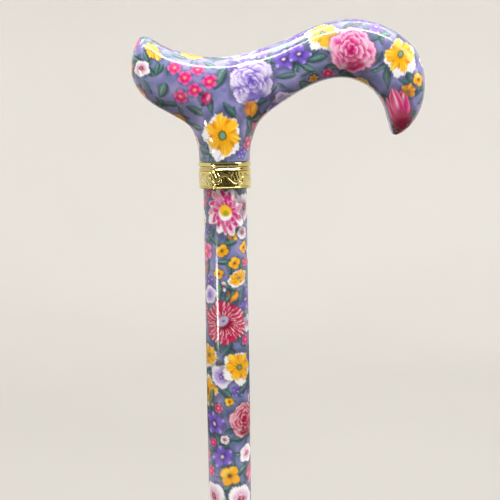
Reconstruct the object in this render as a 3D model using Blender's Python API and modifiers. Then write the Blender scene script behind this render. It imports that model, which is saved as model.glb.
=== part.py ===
"""Quad walking cane: derby handle, two telescopic shaft tubes and a four-footed base.

Metres, +Z up. The origin is on the floor, under the middle of the feet. The handle lies in a
plane along X with its hook towards +X, and the shaft stands nearer the user's side, -Y.
"""

import math

import bmesh
import bpy
from mathutils import Vector

MM = 0.001

# Heights above the floor, in the rest position
TOTAL_HEIGHT = 863.6 * MM
HANDLE_RISE = 70.9 * MM
COLLAR_HEIGHT = 13.3 * MM
COLLAR_TOP = TOTAL_HEIGHT - HANDLE_RISE
COLLAR_BOTTOM = COLLAR_TOP - COLLAR_HEIGHT

# Shaft
SHAFT_Y = -20 * MM
UPPER_RADIUS = 11.1 * MM
UPPER_BORE = 9.9 * MM
LOWER_RADIUS = 9.5 * MM
LOWER_BORE = 8.3 * MM
COLLAR_RADIUS = 13.45 * MM
GAP = 0.35 * MM

# Height adjustment: one hole for each inch, two below the rest position and four above it
HOLE_PITCH = 25.4 * MM
HOLES_ABOVE_BUTTON = 2
HOLES_BELOW_BUTTON = 4
HOLE_RADIUS = 4.0 * MM
BUTTON_RADIUS = 3.6 * MM
BUTTON_HEIGHT = 463.6 * MM
UPPER_TUBE_TOP = COLLAR_TOP - 3 * MM
UPPER_TUBE_END = BUTTON_HEIGHT - HOLES_BELOW_BUTTON * HOLE_PITCH - 42.4 * MM
LOWER_TUBE_TOP = BUTTON_HEIGHT + 20 * MM

# Lock nuts, the same on the shaft and on the base
THREAD_RADIUS = 13.0 * MM
THREAD_ROOT = 12.4 * MM
THREAD_PITCH = 2.5 * MM
THREAD_TURNS = 4
SHOULDER_RADIUS = 15.2 * MM
NUT_BORE = 13.4 * MM
NUT_RADIUS = 17.0 * MM
NUT_HEIGHT = 22 * MM
NUT_FLANGE = 2.2 * MM
NUT_RIBS = 16
RING_RADIUS = 12.4 * MM
RING_HEIGHT = 5.0 * MM
RUNNING_BORE = 9.95 * MM

# Base
SOCKET_BOTTOM = 58 * MM
SOCKET_TOP = 128 * MM
SOCKET_RADIUS = 12.7 * MM
SOCKET_BORE = 10.0 * MM
LOWER_TUBE_END = 70 * MM
LEG_RADIUS = 7.9 * MM
LEG_WALL = 1.5 * MM
LEG_TOP = 80 * MM
LEG_KNEE = 48 * MM
LEG_END = 9.7 * MM  # just above the washer in the ferrule
LEG_BEND = 24 * MM
LEG_SHOULDER_X = 36 * MM
FOOT_X = 87.5 * MM
FOOT_Y = 58 * MM
FOOT_RADIUS = 17.5 * MM
FERRULE_HEIGHT = 34 * MM
FERRULE_BORE = 8.3 * MM
FERRULE_FLOOR = 7.5 * MM
WASHER_RADIUS = 7.8 * MM
WASHER_THICKNESS = 1.5 * MM
PLATE_LENGTH = 48 * MM
PLATE_WIDTH = 62 * MM
PLATE_THICKNESS = 3.5 * MM

# Handle sections from the nose to the hook, in millimetres from the shaft's axis and the collar's
# top: x and z of the upper edge, x and z of the lower edge, half of the depth
HANDLE_SECTIONS = [
    ((-45.3, 55.0), (-45.4, 41.6), 8.0),
    ((-41.0, 63.5), (-41.0, 34.0), 12.0),
    ((-32.2, 60.2), (-32.2, 27.2), 13.0),
    ((-19.5, 55.2), (-19.5, 19.8), 13.2),
    ((0.0, 52.8), (0.0, 22.4), 13.2),
    ((18.5, 56.6), (19.5, 21.6), 13.4),
    ((32.0, 61.3), (31.0, 30.2), 13.8),
    ((46.7, 67.6), (45.0, 38.0), 14.4),
    ((62.5, 70.9), (59.0, 41.4), 14.6),
    ((77.5, 68.7), (70.2, 38.7), 14.3),
    ((91.3, 61.3), (77.8, 32.6), 13.6),
    ((100.6, 48.4), (81.8, 24.6), 12.6),
    ((101.4, 30.4), (84.2, 15.7), 11.0),
    ((96.4, 19.2), (86.6, 12.3), 7.0),
]
NOSE_END = (-46.3, 48.4)
HOOK_END = (91.0, 13.7)
NECK_LEFT, NECK_MIDDLE, NECK_RIGHT = 3, 4, 5
# Neck rings below the bar: height, half of the length, half of the depth
NECK_RINGS = [(13.2, 15.0, 13.6), (6.4, 13.3, 13.1), (0.35, 13.0, 13.0)]
SHOULDER_Z = 24.4
SECTION_CORNER = 0.76
SECTION_WAIST = 0.08


def clear_scene():
    for obj in list(bpy.data.objects):
        bpy.data.objects.remove(obj)


def collection(name):
    found = bpy.data.collections.new(name)
    bpy.context.scene.collection.children.link(found)
    return found


def material(name, colour, roughness, metallic=0.0):
    made = bpy.data.materials.new(name)
    made.use_nodes = True
    shader = made.node_tree.nodes["Principled BSDF"]
    shader.inputs["Base Color"].default_value = (*colour, 1.0)
    shader.inputs["Roughness"].default_value = roughness
    shader.inputs["Metallic"].default_value = metallic
    return made


def add_object(name, data, finish, place=(0, 0, 0)):
    obj = bpy.data.objects.new(name, data)
    obj.location = place
    if finish:
        data.materials.append(finish)
        cane.objects.link(obj)
    else:
        obj.hide_render = True
        obj.display_type = "WIRE"
        cutters.objects.link(obj)
    return obj


def turned(name, profile, finish, place=(0, SHAFT_Y, 0), steps=32):
    """A turned piece. The profile is radii and heights, down the outside and back up the bore."""
    mesh = bpy.data.meshes.new(name)
    points = [(radius, 0, height) for radius, height in profile]
    solid = profile[0][0] == 0
    edges = [(i, i + 1) for i in range(len(points) - 1)]
    if not solid:
        edges.append((len(points) - 1, 0))
    mesh.from_pydata(points, edges, [])
    obj = add_object(name, mesh, finish, place)
    screw = obj.modifiers.new("Turn", "SCREW")
    screw.steps = steps
    screw.render_steps = steps
    screw.use_merge_vertices = True
    screw.merge_threshold = 0.00001
    return obj


def pipe(name, outer, bore, top, bottom, finish, steps=32, place=(0, SHAFT_Y, 0)):
    profile = [(outer, top), (outer, bottom), (bore, bottom), (bore, top)]
    return turned(name, profile, finish, place, steps)


def chamfered_bar(name, radius, top, bottom, chamfer, finish, steps=32, place=(0, SHAFT_Y, 0)):
    profile = [
        (0, top),
        (radius - chamfer, top),
        (radius, top - chamfer),
        (radius, bottom + chamfer),
        (radius - chamfer, bottom),
        (0, bottom),
    ]
    return turned(name, profile, finish, place, steps)


def cylinder_mesh(name, bars, sides=16):
    """One mesh of separate cylinders, each given as centre, radius, length and axis."""
    bm = bmesh.new()
    for centre, radius, length, axis in bars:
        made = bmesh.ops.create_cone(
            bm, cap_ends=True, segments=sides, radius1=radius, radius2=radius, depth=length
        )
        turn = Vector((0, 0, 1)).rotation_difference(Vector(axis)).to_matrix()
        bmesh.ops.rotate(bm, verts=made["verts"], cent=(0, 0, 0), matrix=turn)
        bmesh.ops.translate(bm, verts=made["verts"], vec=centre)
    mesh = bpy.data.meshes.new(name)
    bm.to_mesh(mesh)
    bm.free()
    return mesh


def cut(obj, name, bars, sides=16):
    cutter = add_object(name, cylinder_mesh(name, bars, sides), None)
    boolean = obj.modifiers.new(name, "BOOLEAN")
    boolean.operation = "DIFFERENCE"
    boolean.object = cutter


def rounded_path(corners, radius, steps=5):
    """Points along straight runs whose inner corners are rounded to the radius."""
    corners = [Vector(corner) for corner in corners]
    points = [corners[0]]
    for before, corner, after in zip(corners, corners[1:], corners[2:]):
        back = (before - corner).normalized()
        ahead = (after - corner).normalized()
        half = back.angle(ahead) / 2
        centre = corner + (back + ahead).normalized() * radius / math.sin(half)
        start = (corner + back * radius / math.tan(half) - centre).normalized()
        end = (corner + ahead * radius / math.tan(half) - centre).normalized()
        points += [centre + start.slerp(end, i / steps) * radius for i in range(steps + 1)]
    return points + [corners[-1]]


def cage_section(top, bottom, half_depth):
    """Eight points round one section of the handle: upper edge, front, lower edge, back."""
    top, bottom = Vector((top[0], 0, top[1])), Vector((bottom[0], 0, bottom[1]))
    centre, rise = (top + bottom) / 2, (top - bottom) / 2
    side = Vector((0, half_depth, 0))
    front = [
        centre + rise * SECTION_CORNER - side * SECTION_CORNER,
        centre + rise * SECTION_WAIST - side,
        centre - rise * SECTION_CORNER - side * SECTION_CORNER,
    ]
    back = [Vector((point.x, -point.y, point.z)) for point in reversed(front)]
    return [top, *front, bottom, *back]


def limit_point(vert, crease):
    """Where the subdivided surface passes a cage point."""
    hard = [edge.other_vert(vert).co for edge in vert.link_edges if edge[crease] == 1]
    if len(hard) == 2:
        return (4 * vert.co + hard[0] + hard[1]) / 6
    count = len(vert.link_edges)
    beside = sum((edge.other_vert(vert).co for edge in vert.link_edges), Vector())
    across = Vector()
    for face in vert.link_faces:
        loop = next(loop for loop in face.loops if loop.vert == vert)
        across += loop.link_loop_next.link_loop_next.vert.co
    return (count * count * vert.co + 4 * beside + across) / (count * (count + 5))


def settle_cage(bm, crease, rounds=30):
    """Moves the cage until its subdivided surface passes through the points as given."""
    wanted = {vert: vert.co.copy() for vert in bm.verts}
    for _ in range(rounds):
        error = {vert: wanted[vert] - limit_point(vert, crease) for vert in bm.verts}
        for vert in bm.verts:
            vert.co += error[vert]


def handle_cage():
    """The handle's cage in millimetres: a bar of sections, and a neck that grows out of it."""
    bm = bmesh.new()
    crease = bm.edges.layers.float.new("crease_edge")
    sections = [cage_section(*section) for section in HANDLE_SECTIONS]
    for index in (NECK_LEFT, NECK_MIDDLE, NECK_RIGHT):
        reach = 1.0 if index == NECK_MIDDLE else 0.72
        for corner, side in ((3, -1), (5, 1)):
            sections[index][corner].x *= 0.82
            sections[index][corner].y = side * reach * HANDLE_SECTIONS[index][2]
            sections[index][corner].z = SHOULDER_Z
    # The middle section has no lower edge: the neck opens there
    rings = [[bm.verts.new(point) for point in section] for section in sections]
    for left, right in zip(rings, rings[1:]):
        at = rings.index(left)
        for k in range(8):
            if at in (NECK_LEFT, NECK_MIDDLE) and k in (3, 4):
                continue
            after = (k + 1) % 8
            bm.faces.new((left[k], right[k], right[after], left[after]))
    bm.verts.remove(rings[NECK_MIDDLE][4])
    low, mid, high = rings[NECK_LEFT], rings[NECK_MIDDLE], rings[NECK_RIGHT]
    above = [low[4], low[3], mid[3], high[3], high[4], high[5], mid[5], low[5]]
    for height, length, depth in NECK_RINGS:
        turns = [math.radians(180 + 45 * k) for k in range(8)]
        ring = [bm.verts.new((length * math.cos(t), depth * math.sin(t), height)) for t in turns]
        for k in range(8):
            after = (k + 1) % 8
            bm.faces.new((above[k], above[after], ring[after], ring[k]))
        above = ring
    for k in range(8):
        bm.edges.get((above[k], above[(k + 1) % 8]))[crease] = 1
    close_ring(bm, above, (0, 0, NECK_RINGS[-1][0]))
    close_ring(bm, rings[0], (NOSE_END[0], 0, NOSE_END[1]))
    close_ring(bm, rings[-1], (HOOK_END[0], 0, HOOK_END[1]))
    bmesh.ops.recalc_face_normals(bm, faces=bm.faces)
    settle_cage(bm, crease)
    return bm


def close_ring(bm, ring, centre):
    middle = bm.verts.new(centre)
    for k in range(0, 8, 2):
        bm.faces.new((middle, ring[k], ring[k + 1], ring[(k + 2) % 8]))


def make_handle(finish):
    bm = handle_cage()
    bmesh.ops.scale(bm, vec=(MM, MM, MM), verts=bm.verts)
    mesh = bpy.data.meshes.new("handle")
    bm.to_mesh(mesh)
    bm.free()
    obj = add_object("handle", mesh, finish, (0, SHAFT_Y, COLLAR_TOP))
    subdivide = obj.modifiers.new("Soft form", "SUBSURF")
    subdivide.levels = 2
    subdivide.render_levels = 2
    cut(obj, "handle_bore", [((0, SHAFT_Y, COLLAR_TOP + 13 * MM), 4.4 * MM, 34 * MM, (0, 0, 1))])
    mesh.shade_smooth()


def make_handle_joint(steel, nylon, gold):
    """The stud and plug that hold the handle in the tube, and the collar that hides the joint."""
    chamfered_bar(
        "handle_stud", 4.0 * MM, COLLAR_TOP + 29 * MM, COLLAR_TOP - 24 * MM, 0.8 * MM, steel, 20
    )
    flange_low = UPPER_TUBE_TOP + GAP
    end = COLLAR_TOP - 34 * MM
    plug = [
        (0, end + 8 * MM),
        (4.4 * MM, end + 8 * MM),
        (4.4 * MM, COLLAR_TOP),
        (10.6 * MM, COLLAR_TOP),
        (10.6 * MM, flange_low),
        (9.45 * MM, flange_low),
        (9.45 * MM, end + 1 * MM),
        (8.6 * MM, end),
        (0, end),
    ]
    turned("tube_plug", plug, nylon, steps=28)
    top, low = COLLAR_TOP, COLLAR_BOTTOM
    outer = COLLAR_RADIUS
    collar = [
        (outer - 0.4 * MM, top),
        (outer, top - 0.4 * MM),
        (outer, top - 2.3 * MM),
        (outer - 0.7 * MM, top - 2.7 * MM),
        (outer - 0.1 * MM, top - 3.5 * MM),
        (outer - 0.7 * MM, top - 4.3 * MM),
        (outer - 0.25 * MM, top - 4.6 * MM),
        (outer - 0.25 * MM, low + 1.3 * MM),
        (outer - 0.7 * MM, low + 1.0 * MM),
        (outer, low + 0.7 * MM),
        (outer - 0.1 * MM, low),
        (UPPER_RADIUS + GAP, low),
        (UPPER_RADIUS + GAP, top),
    ]
    turned("collar", collar, gold, steps=28)


def make_upper_tube(finish):
    tube = pipe(
        "upper_tube", UPPER_RADIUS, UPPER_BORE, UPPER_TUBE_TOP, UPPER_TUBE_END, finish, 32
    )
    front = SHAFT_Y - UPPER_RADIUS
    holes = []
    for step in range(-HOLES_BELOW_BUTTON, HOLES_ABOVE_BUTTON + 1):
        centre = (0, front, BUTTON_HEIGHT + step * HOLE_PITCH)
        holes.append((centre, HOLE_RADIUS, 6 * MM, (0, 1, 0)))
    cut(tube, "height_holes", holes)


def thread_outline(top):
    """The ridges of a short thread, from the top down."""
    points = []
    for turn in range(THREAD_TURNS):
        ridge = top - turn * THREAD_PITCH
        points += [
            (THREAD_RADIUS, ridge),
            (THREAD_RADIUS, ridge - 0.5 * THREAD_PITCH),
            (THREAD_ROOT, ridge - 0.7 * THREAD_PITCH),
            (THREAD_ROOT, ridge - 0.8 * THREAD_PITCH),
        ]
    return points


def make_thread_sleeve(finish):
    """The threaded sleeve round the lower end of the upper tube, with a lip under the tube."""
    end = UPPER_TUBE_END
    over_tube = UPPER_RADIUS + GAP
    profile = [
        (THREAD_RADIUS, end + 24 * MM),
        (SHOULDER_RADIUS, end + 22 * MM),
        (SHOULDER_RADIUS, end + 13 * MM),
        (THREAD_ROOT, end + 12 * MM),
        *thread_outline(end + 11 * MM),
        (THREAD_ROOT, end - 3 * MM),
        (RUNNING_BORE, end - 3 * MM),
        (RUNNING_BORE, end - GAP),
        (over_tube, end - GAP),
        (over_tube, end + 24 * MM),
    ]
    turned("thread_sleeve", profile, finish, steps=24)


def make_lock_nut(name, seat, way, finish):
    """A ribbed nut. The seat is the face of its flange that carries the ring, and way is +1 where
    the nut opens upwards."""
    lip = seat - way * NUT_FLANGE
    mouth = lip + way * NUT_HEIGHT
    outline = [
        (RUNNING_BORE + 0.2 * MM, seat),
        (NUT_BORE, seat),
        (NUT_BORE, mouth),
        (NUT_RADIUS - 1 * MM, mouth),
        (NUT_RADIUS, mouth - way * 1.2 * MM),
        (NUT_RADIUS, lip + way * 5 * MM),
        (NUT_RADIUS - 2.6 * MM, lip),
        (RUNNING_BORE + 0.2 * MM, lip),
    ]
    nut = turned(name, outline if way > 0 else outline[::-1], finish, steps=32)
    grooves = []
    for rib in range(NUT_RIBS):
        turn = 2 * math.pi * rib / NUT_RIBS
        reach = NUT_RADIUS + 0.9 * MM
        centre = (
            reach * math.cos(turn),
            SHAFT_Y + reach * math.sin(turn),
            (lip + mouth) / 2 + way * 2 * MM,
        )
        grooves.append((centre, 1.6 * MM, NUT_HEIGHT - 6 * MM, (0, 0, 1)))
    cut(nut, name + "_grooves", grooves, 8)


def make_ring(name, bottom, finish):
    """A split ring that the nut squeezes on the tube."""
    bore, outer, height = RUNNING_BORE, RING_RADIUS, RING_HEIGHT
    profile = [
        (outer - 0.8 * MM, bottom + height),
        (outer, bottom + height * 0.6),
        (outer, bottom),
        (bore, bottom),
        (bore, bottom + height),
    ]
    ring = turned(name, profile, finish, steps=28)
    slot = bpy.data.meshes.new(name + "_slot")
    bm = bmesh.new()
    bmesh.ops.create_cube(bm, size=1)
    bmesh.ops.scale(bm, vec=(1.6 * MM, 6 * MM, 3 * height), verts=bm.verts)
    bmesh.ops.translate(bm, vec=(0, SHAFT_Y - 11 * MM, bottom + height / 2), verts=bm.verts)
    bm.to_mesh(slot)
    bm.free()
    cutter = add_object(name + "_slot", slot, None)
    boolean = ring.modifiers.new("Slot", "BOOLEAN")
    boolean.operation = "DIFFERENCE"
    boolean.object = cutter


def make_lower_tube(aluminium, nylon):
    tube = pipe(
        "lower_tube", LOWER_RADIUS, LOWER_BORE, LOWER_TUBE_TOP, LOWER_TUBE_END, aluminium, 28
    )
    front = (0, SHAFT_Y - LOWER_RADIUS, BUTTON_HEIGHT)
    cut(tube, "button_hole", [(front, HOLE_RADIUS, 5 * MM, (0, 1, 0))])
    top = LOWER_TUBE_TOP
    glide = [
        (0, top + 3.5 * MM),
        (LOWER_RADIUS - 1 * MM, top + 3.5 * MM),
        (LOWER_RADIUS, top + 2.5 * MM),
        (LOWER_RADIUS, top + GAP),
        (LOWER_BORE - GAP, top + GAP),
        (LOWER_BORE - GAP, top - 8 * MM),
        (0, top - 8 * MM),
    ]
    turned("glide_plug", glide, nylon, steps=28)
    end = LOWER_TUBE_END
    foot = [
        (0, end + 10 * MM),
        (LOWER_BORE - GAP, end + 10 * MM),
        (LOWER_BORE - GAP, end - GAP),
        (LOWER_RADIUS - 0.1 * MM, end - GAP),
        (LOWER_RADIUS - 0.1 * MM, end - 2 * MM),
        (0, end - 2 * MM),
    ]
    turned("lower_tube_plug", foot, nylon, steps=28)


def make_button(steel, spring_steel):
    """The snap pin through both tubes, and the bent strip that pushes it out."""
    stem = [
        (0, 12.8 * MM),
        (1.9 * MM, 12.5 * MM),
        (3.1 * MM, 11.8 * MM),
        (BUTTON_RADIUS, 10.8 * MM),
        (BUTTON_RADIUS, 6.7 * MM),
        (4.2 * MM, 6.7 * MM),
        (4.2 * MM, 5.8 * MM),
        (0, 5.8 * MM),
    ]
    button = turned("height_button", stem, steel, (0, SHAFT_Y, BUTTON_HEIGHT), 20)
    button.rotation_euler = (math.radians(90), 0, 0)
    corners = [
        (0, -5.0 * MM, 8 * MM),
        (0, -5.0 * MM, -8 * MM),
        (0, -2.0 * MM, -34 * MM),
        (0, 6.8 * MM, -34 * MM),
        (0, 6.8 * MM, 0),
    ]
    centre_line = rounded_path(corners, 3.5 * MM, 5)
    half_width = Vector((3.4 * MM, 0, 0))
    mesh = bpy.data.meshes.new("button_spring")
    points = [point + side for point in centre_line for side in (-half_width, half_width)]
    faces = [(2 * i, 2 * i + 1, 2 * i + 3, 2 * i + 2) for i in range(len(centre_line) - 1)]
    mesh.from_pydata(points, [], faces)
    strip = add_object("button_spring", mesh, spring_steel, (0, SHAFT_Y, BUTTON_HEIGHT))
    thick = strip.modifiers.new("Strip", "SOLIDIFY")
    thick.thickness = 0.7 * MM
    thick.offset = 0
    thick.use_even_offset = True


def make_socket(steel, nylon):
    """The upright of the base: a tube with a thread for its lock nut, closed by a plug below."""
    top, bottom = SOCKET_TOP, SOCKET_BOTTOM
    profile = [
        (THREAD_ROOT, top),
        *thread_outline(top - 1 * MM),
        (THREAD_ROOT, top - 17 * MM),
        (SHOULDER_RADIUS, top - 17.5 * MM),
        (SHOULDER_RADIUS, top - 21 * MM),
        (SOCKET_RADIUS, top - 22 * MM),
        (SOCKET_RADIUS, bottom),
        (SOCKET_BORE, bottom),
        (SOCKET_BORE, top),
    ]
    turned("base_socket", profile, steel, steps=24)
    plug = [
        (0, bottom + 9 * MM),
        (SOCKET_BORE - GAP, bottom + 9 * MM),
        (SOCKET_BORE - GAP, bottom - GAP),
        (SOCKET_RADIUS, bottom - GAP),
        (SOCKET_RADIUS - 0.8 * MM, bottom - 3 * MM),
        (0, bottom - 3 * MM),
    ]
    turned("socket_plug", plug, nylon, steps=28)


def make_leg(name, foot_y, top_y, finish):
    """One bent tube: up from a foot, over the knee, past the socket and down to the other foot."""
    half = [
        (-FOOT_X, foot_y, LEG_END),
        (-FOOT_X, foot_y, LEG_KNEE),
        (-LEG_SHOULDER_X, top_y, LEG_TOP),
    ]
    other = [(-x, y, z) for x, y, z in reversed(half)]
    points = rounded_path(half + other, LEG_BEND)
    curve = bpy.data.curves.new(name, "CURVE")
    curve.dimensions = "3D"
    curve.bevel_depth = LEG_RADIUS
    curve.bevel_resolution = 4
    curve.use_fill_caps = False
    spline = curve.splines.new("POLY")
    spline.points.add(len(points) - 1)
    for slot, point in zip(spline.points, points):
        slot.co = (*point, 1)
    obj = add_object(name, curve, finish)
    wall = obj.modifiers.new("Wall", "SOLIDIFY")
    wall.thickness = LEG_WALL
    wall.offset = -1
    wall.use_even_offset = True


def make_plate(name, bottom, finish):
    """A flat plate with round corners, which the legs and the socket are welded to."""
    corner = 9 * MM
    x, y = PLATE_LENGTH / 2 - corner, PLATE_WIDTH / 2 - corner
    curve = bpy.data.curves.new(name, "CURVE")
    curve.dimensions = "2D"
    curve.fill_mode = "BOTH"
    curve.extrude = PLATE_THICKNESS / 2
    outline = []
    for quarter, (cx, cy) in enumerate(((x, y), (-x, y), (-x, -y), (x, -y))):
        for step in range(6):
            turn = math.radians(90 * quarter + 18 * step)
            outline.append((cx + corner * math.cos(turn), cy + corner * math.sin(turn)))
    hole = SOCKET_RADIUS + 0.4 * MM
    turns = [2 * math.pi * k / 32 for k in range(32)]
    ring = [(hole * math.cos(turn), hole * math.sin(turn)) for turn in turns]
    for loop in (outline, ring):
        spline = curve.splines.new("POLY")
        spline.points.add(len(loop) - 1)
        for slot, (px, py) in zip(spline.points, loop):
            slot.co = (px, py, 0, 1)
        spline.use_cyclic_u = True
    add_object(name, curve, finish, (0, SHAFT_Y, bottom + PLATE_THICKNESS / 2))


def make_foot(name, x, y, rubber, steel):
    """A rubber ferrule with grip rings under it, and the washer that the tube presses on."""
    bore, height, radius = FERRULE_BORE, FERRULE_HEIGHT, FOOT_RADIUS
    groove = 1.5 * MM
    profile = [
        (10.6 * MM, height),
        (11.4 * MM, height - 1 * MM),
        (11.4 * MM, height - 5 * MM),
        (10.9 * MM, height - 6 * MM),
        (12.3 * MM, height / 2),
        (14.2 * MM, 10 * MM),
        (radius, 6 * MM),
        (radius, 1 * MM),
        (radius - 1 * MM, 0),
        (12.5 * MM, 0),
        (12.0 * MM, groove),
        (9.5 * MM, groove),
        (9.0 * MM, 0),
        (0, 0),
    ]
    bored = [(0, FERRULE_FLOOR), (bore, FERRULE_FLOOR), (bore, height)]
    turned("ferrule_" + name, bored + profile, rubber, (x, y, 0), 20)
    low = FERRULE_FLOOR + GAP
    washer_top = low + WASHER_THICKNESS
    chamfered_bar(
        "washer_" + name, WASHER_RADIUS, washer_top, low, 0.3 * MM, steel, 20, (x, y, 0)
    )


clear_scene()
cane = collection("quad_walking_cane")
cutters = collection("cutters")

print_lacquer = material("printed lacquer", (0.45, 0.36, 0.47), 0.18)
print_film = material("printed tube", (0.45, 0.36, 0.47), 0.22)
gold = material("gold plate", (0.86, 0.66, 0.25), 0.2, 1.0)
steel = material("bright steel", (0.62, 0.62, 0.63), 0.3, 1.0)
spring_steel = material("spring steel", (0.35, 0.36, 0.38), 0.35, 1.0)
aluminium = material("anodised aluminium", (0.70, 0.70, 0.71), 0.32, 1.0)
black_nylon = material("black nylon", (0.03, 0.03, 0.032), 0.5)
pale_nylon = material("pale nylon", (0.78, 0.77, 0.72), 0.5)
black_coat = material("black powder coat", (0.025, 0.025, 0.028), 0.42, 0.3)
rubber = material("grey rubber", (0.06, 0.06, 0.062), 0.8)

make_handle(print_lacquer)
make_handle_joint(steel, pale_nylon, gold)
make_upper_tube(print_film)
make_thread_sleeve(black_nylon)
make_ring("compression_ring", UPPER_TUBE_END - 3.4 * MM - RING_HEIGHT, pale_nylon)
make_lock_nut("lock_nut", UPPER_TUBE_END - 3.75 * MM - RING_HEIGHT, 1, black_nylon)
make_lower_tube(aluminium, black_nylon)
make_button(steel, spring_steel)
make_socket(black_coat, black_nylon)
make_ring("base_compression_ring", SOCKET_TOP + GAP, pale_nylon)
make_lock_nut("base_lock_nut", SOCKET_TOP + 2 * GAP + RING_HEIGHT, -1, black_nylon)
leg_offset = SOCKET_RADIUS + LEG_RADIUS + GAP
make_leg("inner_leg_tube", -FOOT_Y, SHAFT_Y - leg_offset, black_coat)
make_leg("outer_leg_tube", FOOT_Y, SHAFT_Y + leg_offset, black_coat)
make_plate("saddle_plate", LEG_TOP + LEG_RADIUS + GAP, black_coat)
make_plate("saddle_plate_lower", LEG_TOP - LEG_RADIUS - GAP - PLATE_THICKNESS, black_coat)
for end_name, end_x in (("left", -FOOT_X), ("right", FOOT_X)):
    make_foot("inner_" + end_name, end_x, -FOOT_Y, rubber, steel)
    make_foot("outer_" + end_name, end_x, FOOT_Y, rubber, steel)
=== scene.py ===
import math

import bmesh
import bpy
import numpy as np
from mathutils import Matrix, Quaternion, Vector


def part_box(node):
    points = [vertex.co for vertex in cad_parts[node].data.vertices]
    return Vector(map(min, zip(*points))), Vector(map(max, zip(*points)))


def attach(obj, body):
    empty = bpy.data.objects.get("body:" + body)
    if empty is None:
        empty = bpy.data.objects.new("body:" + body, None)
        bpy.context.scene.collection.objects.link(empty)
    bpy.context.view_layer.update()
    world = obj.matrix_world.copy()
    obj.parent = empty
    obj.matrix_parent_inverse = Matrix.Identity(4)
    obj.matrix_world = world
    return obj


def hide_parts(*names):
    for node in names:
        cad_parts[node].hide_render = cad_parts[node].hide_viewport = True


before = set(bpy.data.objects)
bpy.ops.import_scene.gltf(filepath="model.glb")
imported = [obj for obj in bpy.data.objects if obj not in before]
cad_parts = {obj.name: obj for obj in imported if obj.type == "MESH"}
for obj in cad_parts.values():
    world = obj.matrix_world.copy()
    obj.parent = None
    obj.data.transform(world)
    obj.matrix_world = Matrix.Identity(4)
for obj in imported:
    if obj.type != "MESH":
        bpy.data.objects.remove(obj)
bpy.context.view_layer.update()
print("frame loaded:", len(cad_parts), "nodes")

mm = 0.001

# places that every piece is set out from
tubeLow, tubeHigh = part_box("upper_tube")
collarLow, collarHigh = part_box("collar")
shaftX = (tubeLow.x + tubeHigh.x) / 2
shaftY = (tubeLow.y + tubeHigh.y) / 2
tubeRadius = (tubeHigh.x - tubeLow.x) / 2
collarTop = collarHigh.z
pinLow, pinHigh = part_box("height_button")
pinHeight = (pinLow.z + pinHigh.z) / 2


# small helpers

def linear(red, green, blue):
    # screen colour, 0 to 255, to the shader's linear colour
    c = np.array((red, green, blue)) / 255
    return np.where(c < 0.04045, c / 12.92, ((c + 0.055) / 1.055) ** 2.4)


def softStep(x, low, high):
    t = np.clip((x - low) / (high - low), 0, 1)
    return t * t * (3 - 2 * t)


def blendTone(a, b, t):
    t = np.asarray(t)[..., None]
    return np.asarray(a) * (1 - t) + np.asarray(b) * t


def mottle(points, scale, seed, waves=9):
    # soft cloudy noise from a few plane waves, about -1 to 1
    rng = np.random.default_rng(seed)
    total = np.zeros(len(points))
    for _ in range(waves):
        way = rng.normal(size=3)
        way *= rng.uniform(0.6, 1.7) / np.linalg.norm(way) / scale
        total += np.sin(points @ way * 2 * math.pi + rng.uniform(0, 2 * math.pi))
    return total / math.sqrt(waves)


def put(tree, kind, inputs=None, **settings):
    # one shader node, with its settings, values and links
    made = tree.nodes.new("ShaderNode" + kind)
    for name, value in settings.items():
        setattr(made, name, value)
    for name, value in (inputs or {}).items():
        if isinstance(value, bpy.types.NodeSocket):
            tree.links.new(value, made.inputs[name])
        else:
            made.inputs[name].default_value = value
    return made


def finishOf(name, sockets):
    made = bpy.data.materials.new(name)
    made.use_nodes = True
    shader = made.node_tree.nodes["Principled BSDF"]
    for socket, value in sockets.items():
        shader.inputs[socket].default_value = value
    return made, made.node_tree, shader


def ramp(tree, fac, stops):
    made = put(tree, "ValToRGB", {"Fac": fac})
    band = made.color_ramp
    while len(band.elements) < len(stops):
        band.elements.new(0.5)
    for element, (place, colour) in zip(band.elements, stops):
        element.position = place
        element.color = (*colour, 1)
    return made.outputs["Color"]


def mixTones(tree, share, one, two, way="MIX"):
    # a Mix node keeps its colour sockets after those for numbers and vectors
    made = put(tree, "Mix", data_type="RGBA", blend_type=way)
    for index, value in ((0, share), (6, one), (7, two)):
        if isinstance(value, bpy.types.NodeSocket):
            tree.links.new(value, made.inputs[index])
        else:
            made.inputs[index].default_value = value
    return made.outputs[2]


def grey(value):
    return (value, value, value)


def settle(name, data, finish, body, replaces=(), sharp=38):
    # makes the piece, gives it its finish and hangs it on its body
    data.materials.clear()
    data.materials.append(finish)
    if sharp:
        data.shade_smooth()
        data.set_sharp_from_angle(angle=math.radians(sharp))
    piece = bpy.data.objects.new(name, data)
    bpy.context.scene.collection.objects.link(piece)
    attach(piece, body)
    if replaces:
        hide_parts(*replaces)
    return piece


def revolve(profile, steps, centre=(0, 0), closed=True):
    # points and faces of a turned shape; profile of (radius, height), down the outside
    profile = np.array(profile, float)
    turns = np.arange(steps) * 2 * math.pi / steps
    points = np.empty((len(profile), steps, 3))
    points[..., 0] = centre[0] + profile[:, :1] * np.cos(turns)
    points[..., 1] = centre[1] + profile[:, :1] * np.sin(turns)
    points[..., 2] = profile[:, 1:]
    rows = len(profile) if closed else len(profile) - 1
    faces = []
    for i in range(rows):
        a, b = i * steps, (i + 1) % len(profile) * steps
        for k in range(steps):
            n = (k + 1) % steps
            faces.append((a + k, b + k, b + n, a + n))
    return points.reshape(-1, 3), faces


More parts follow.
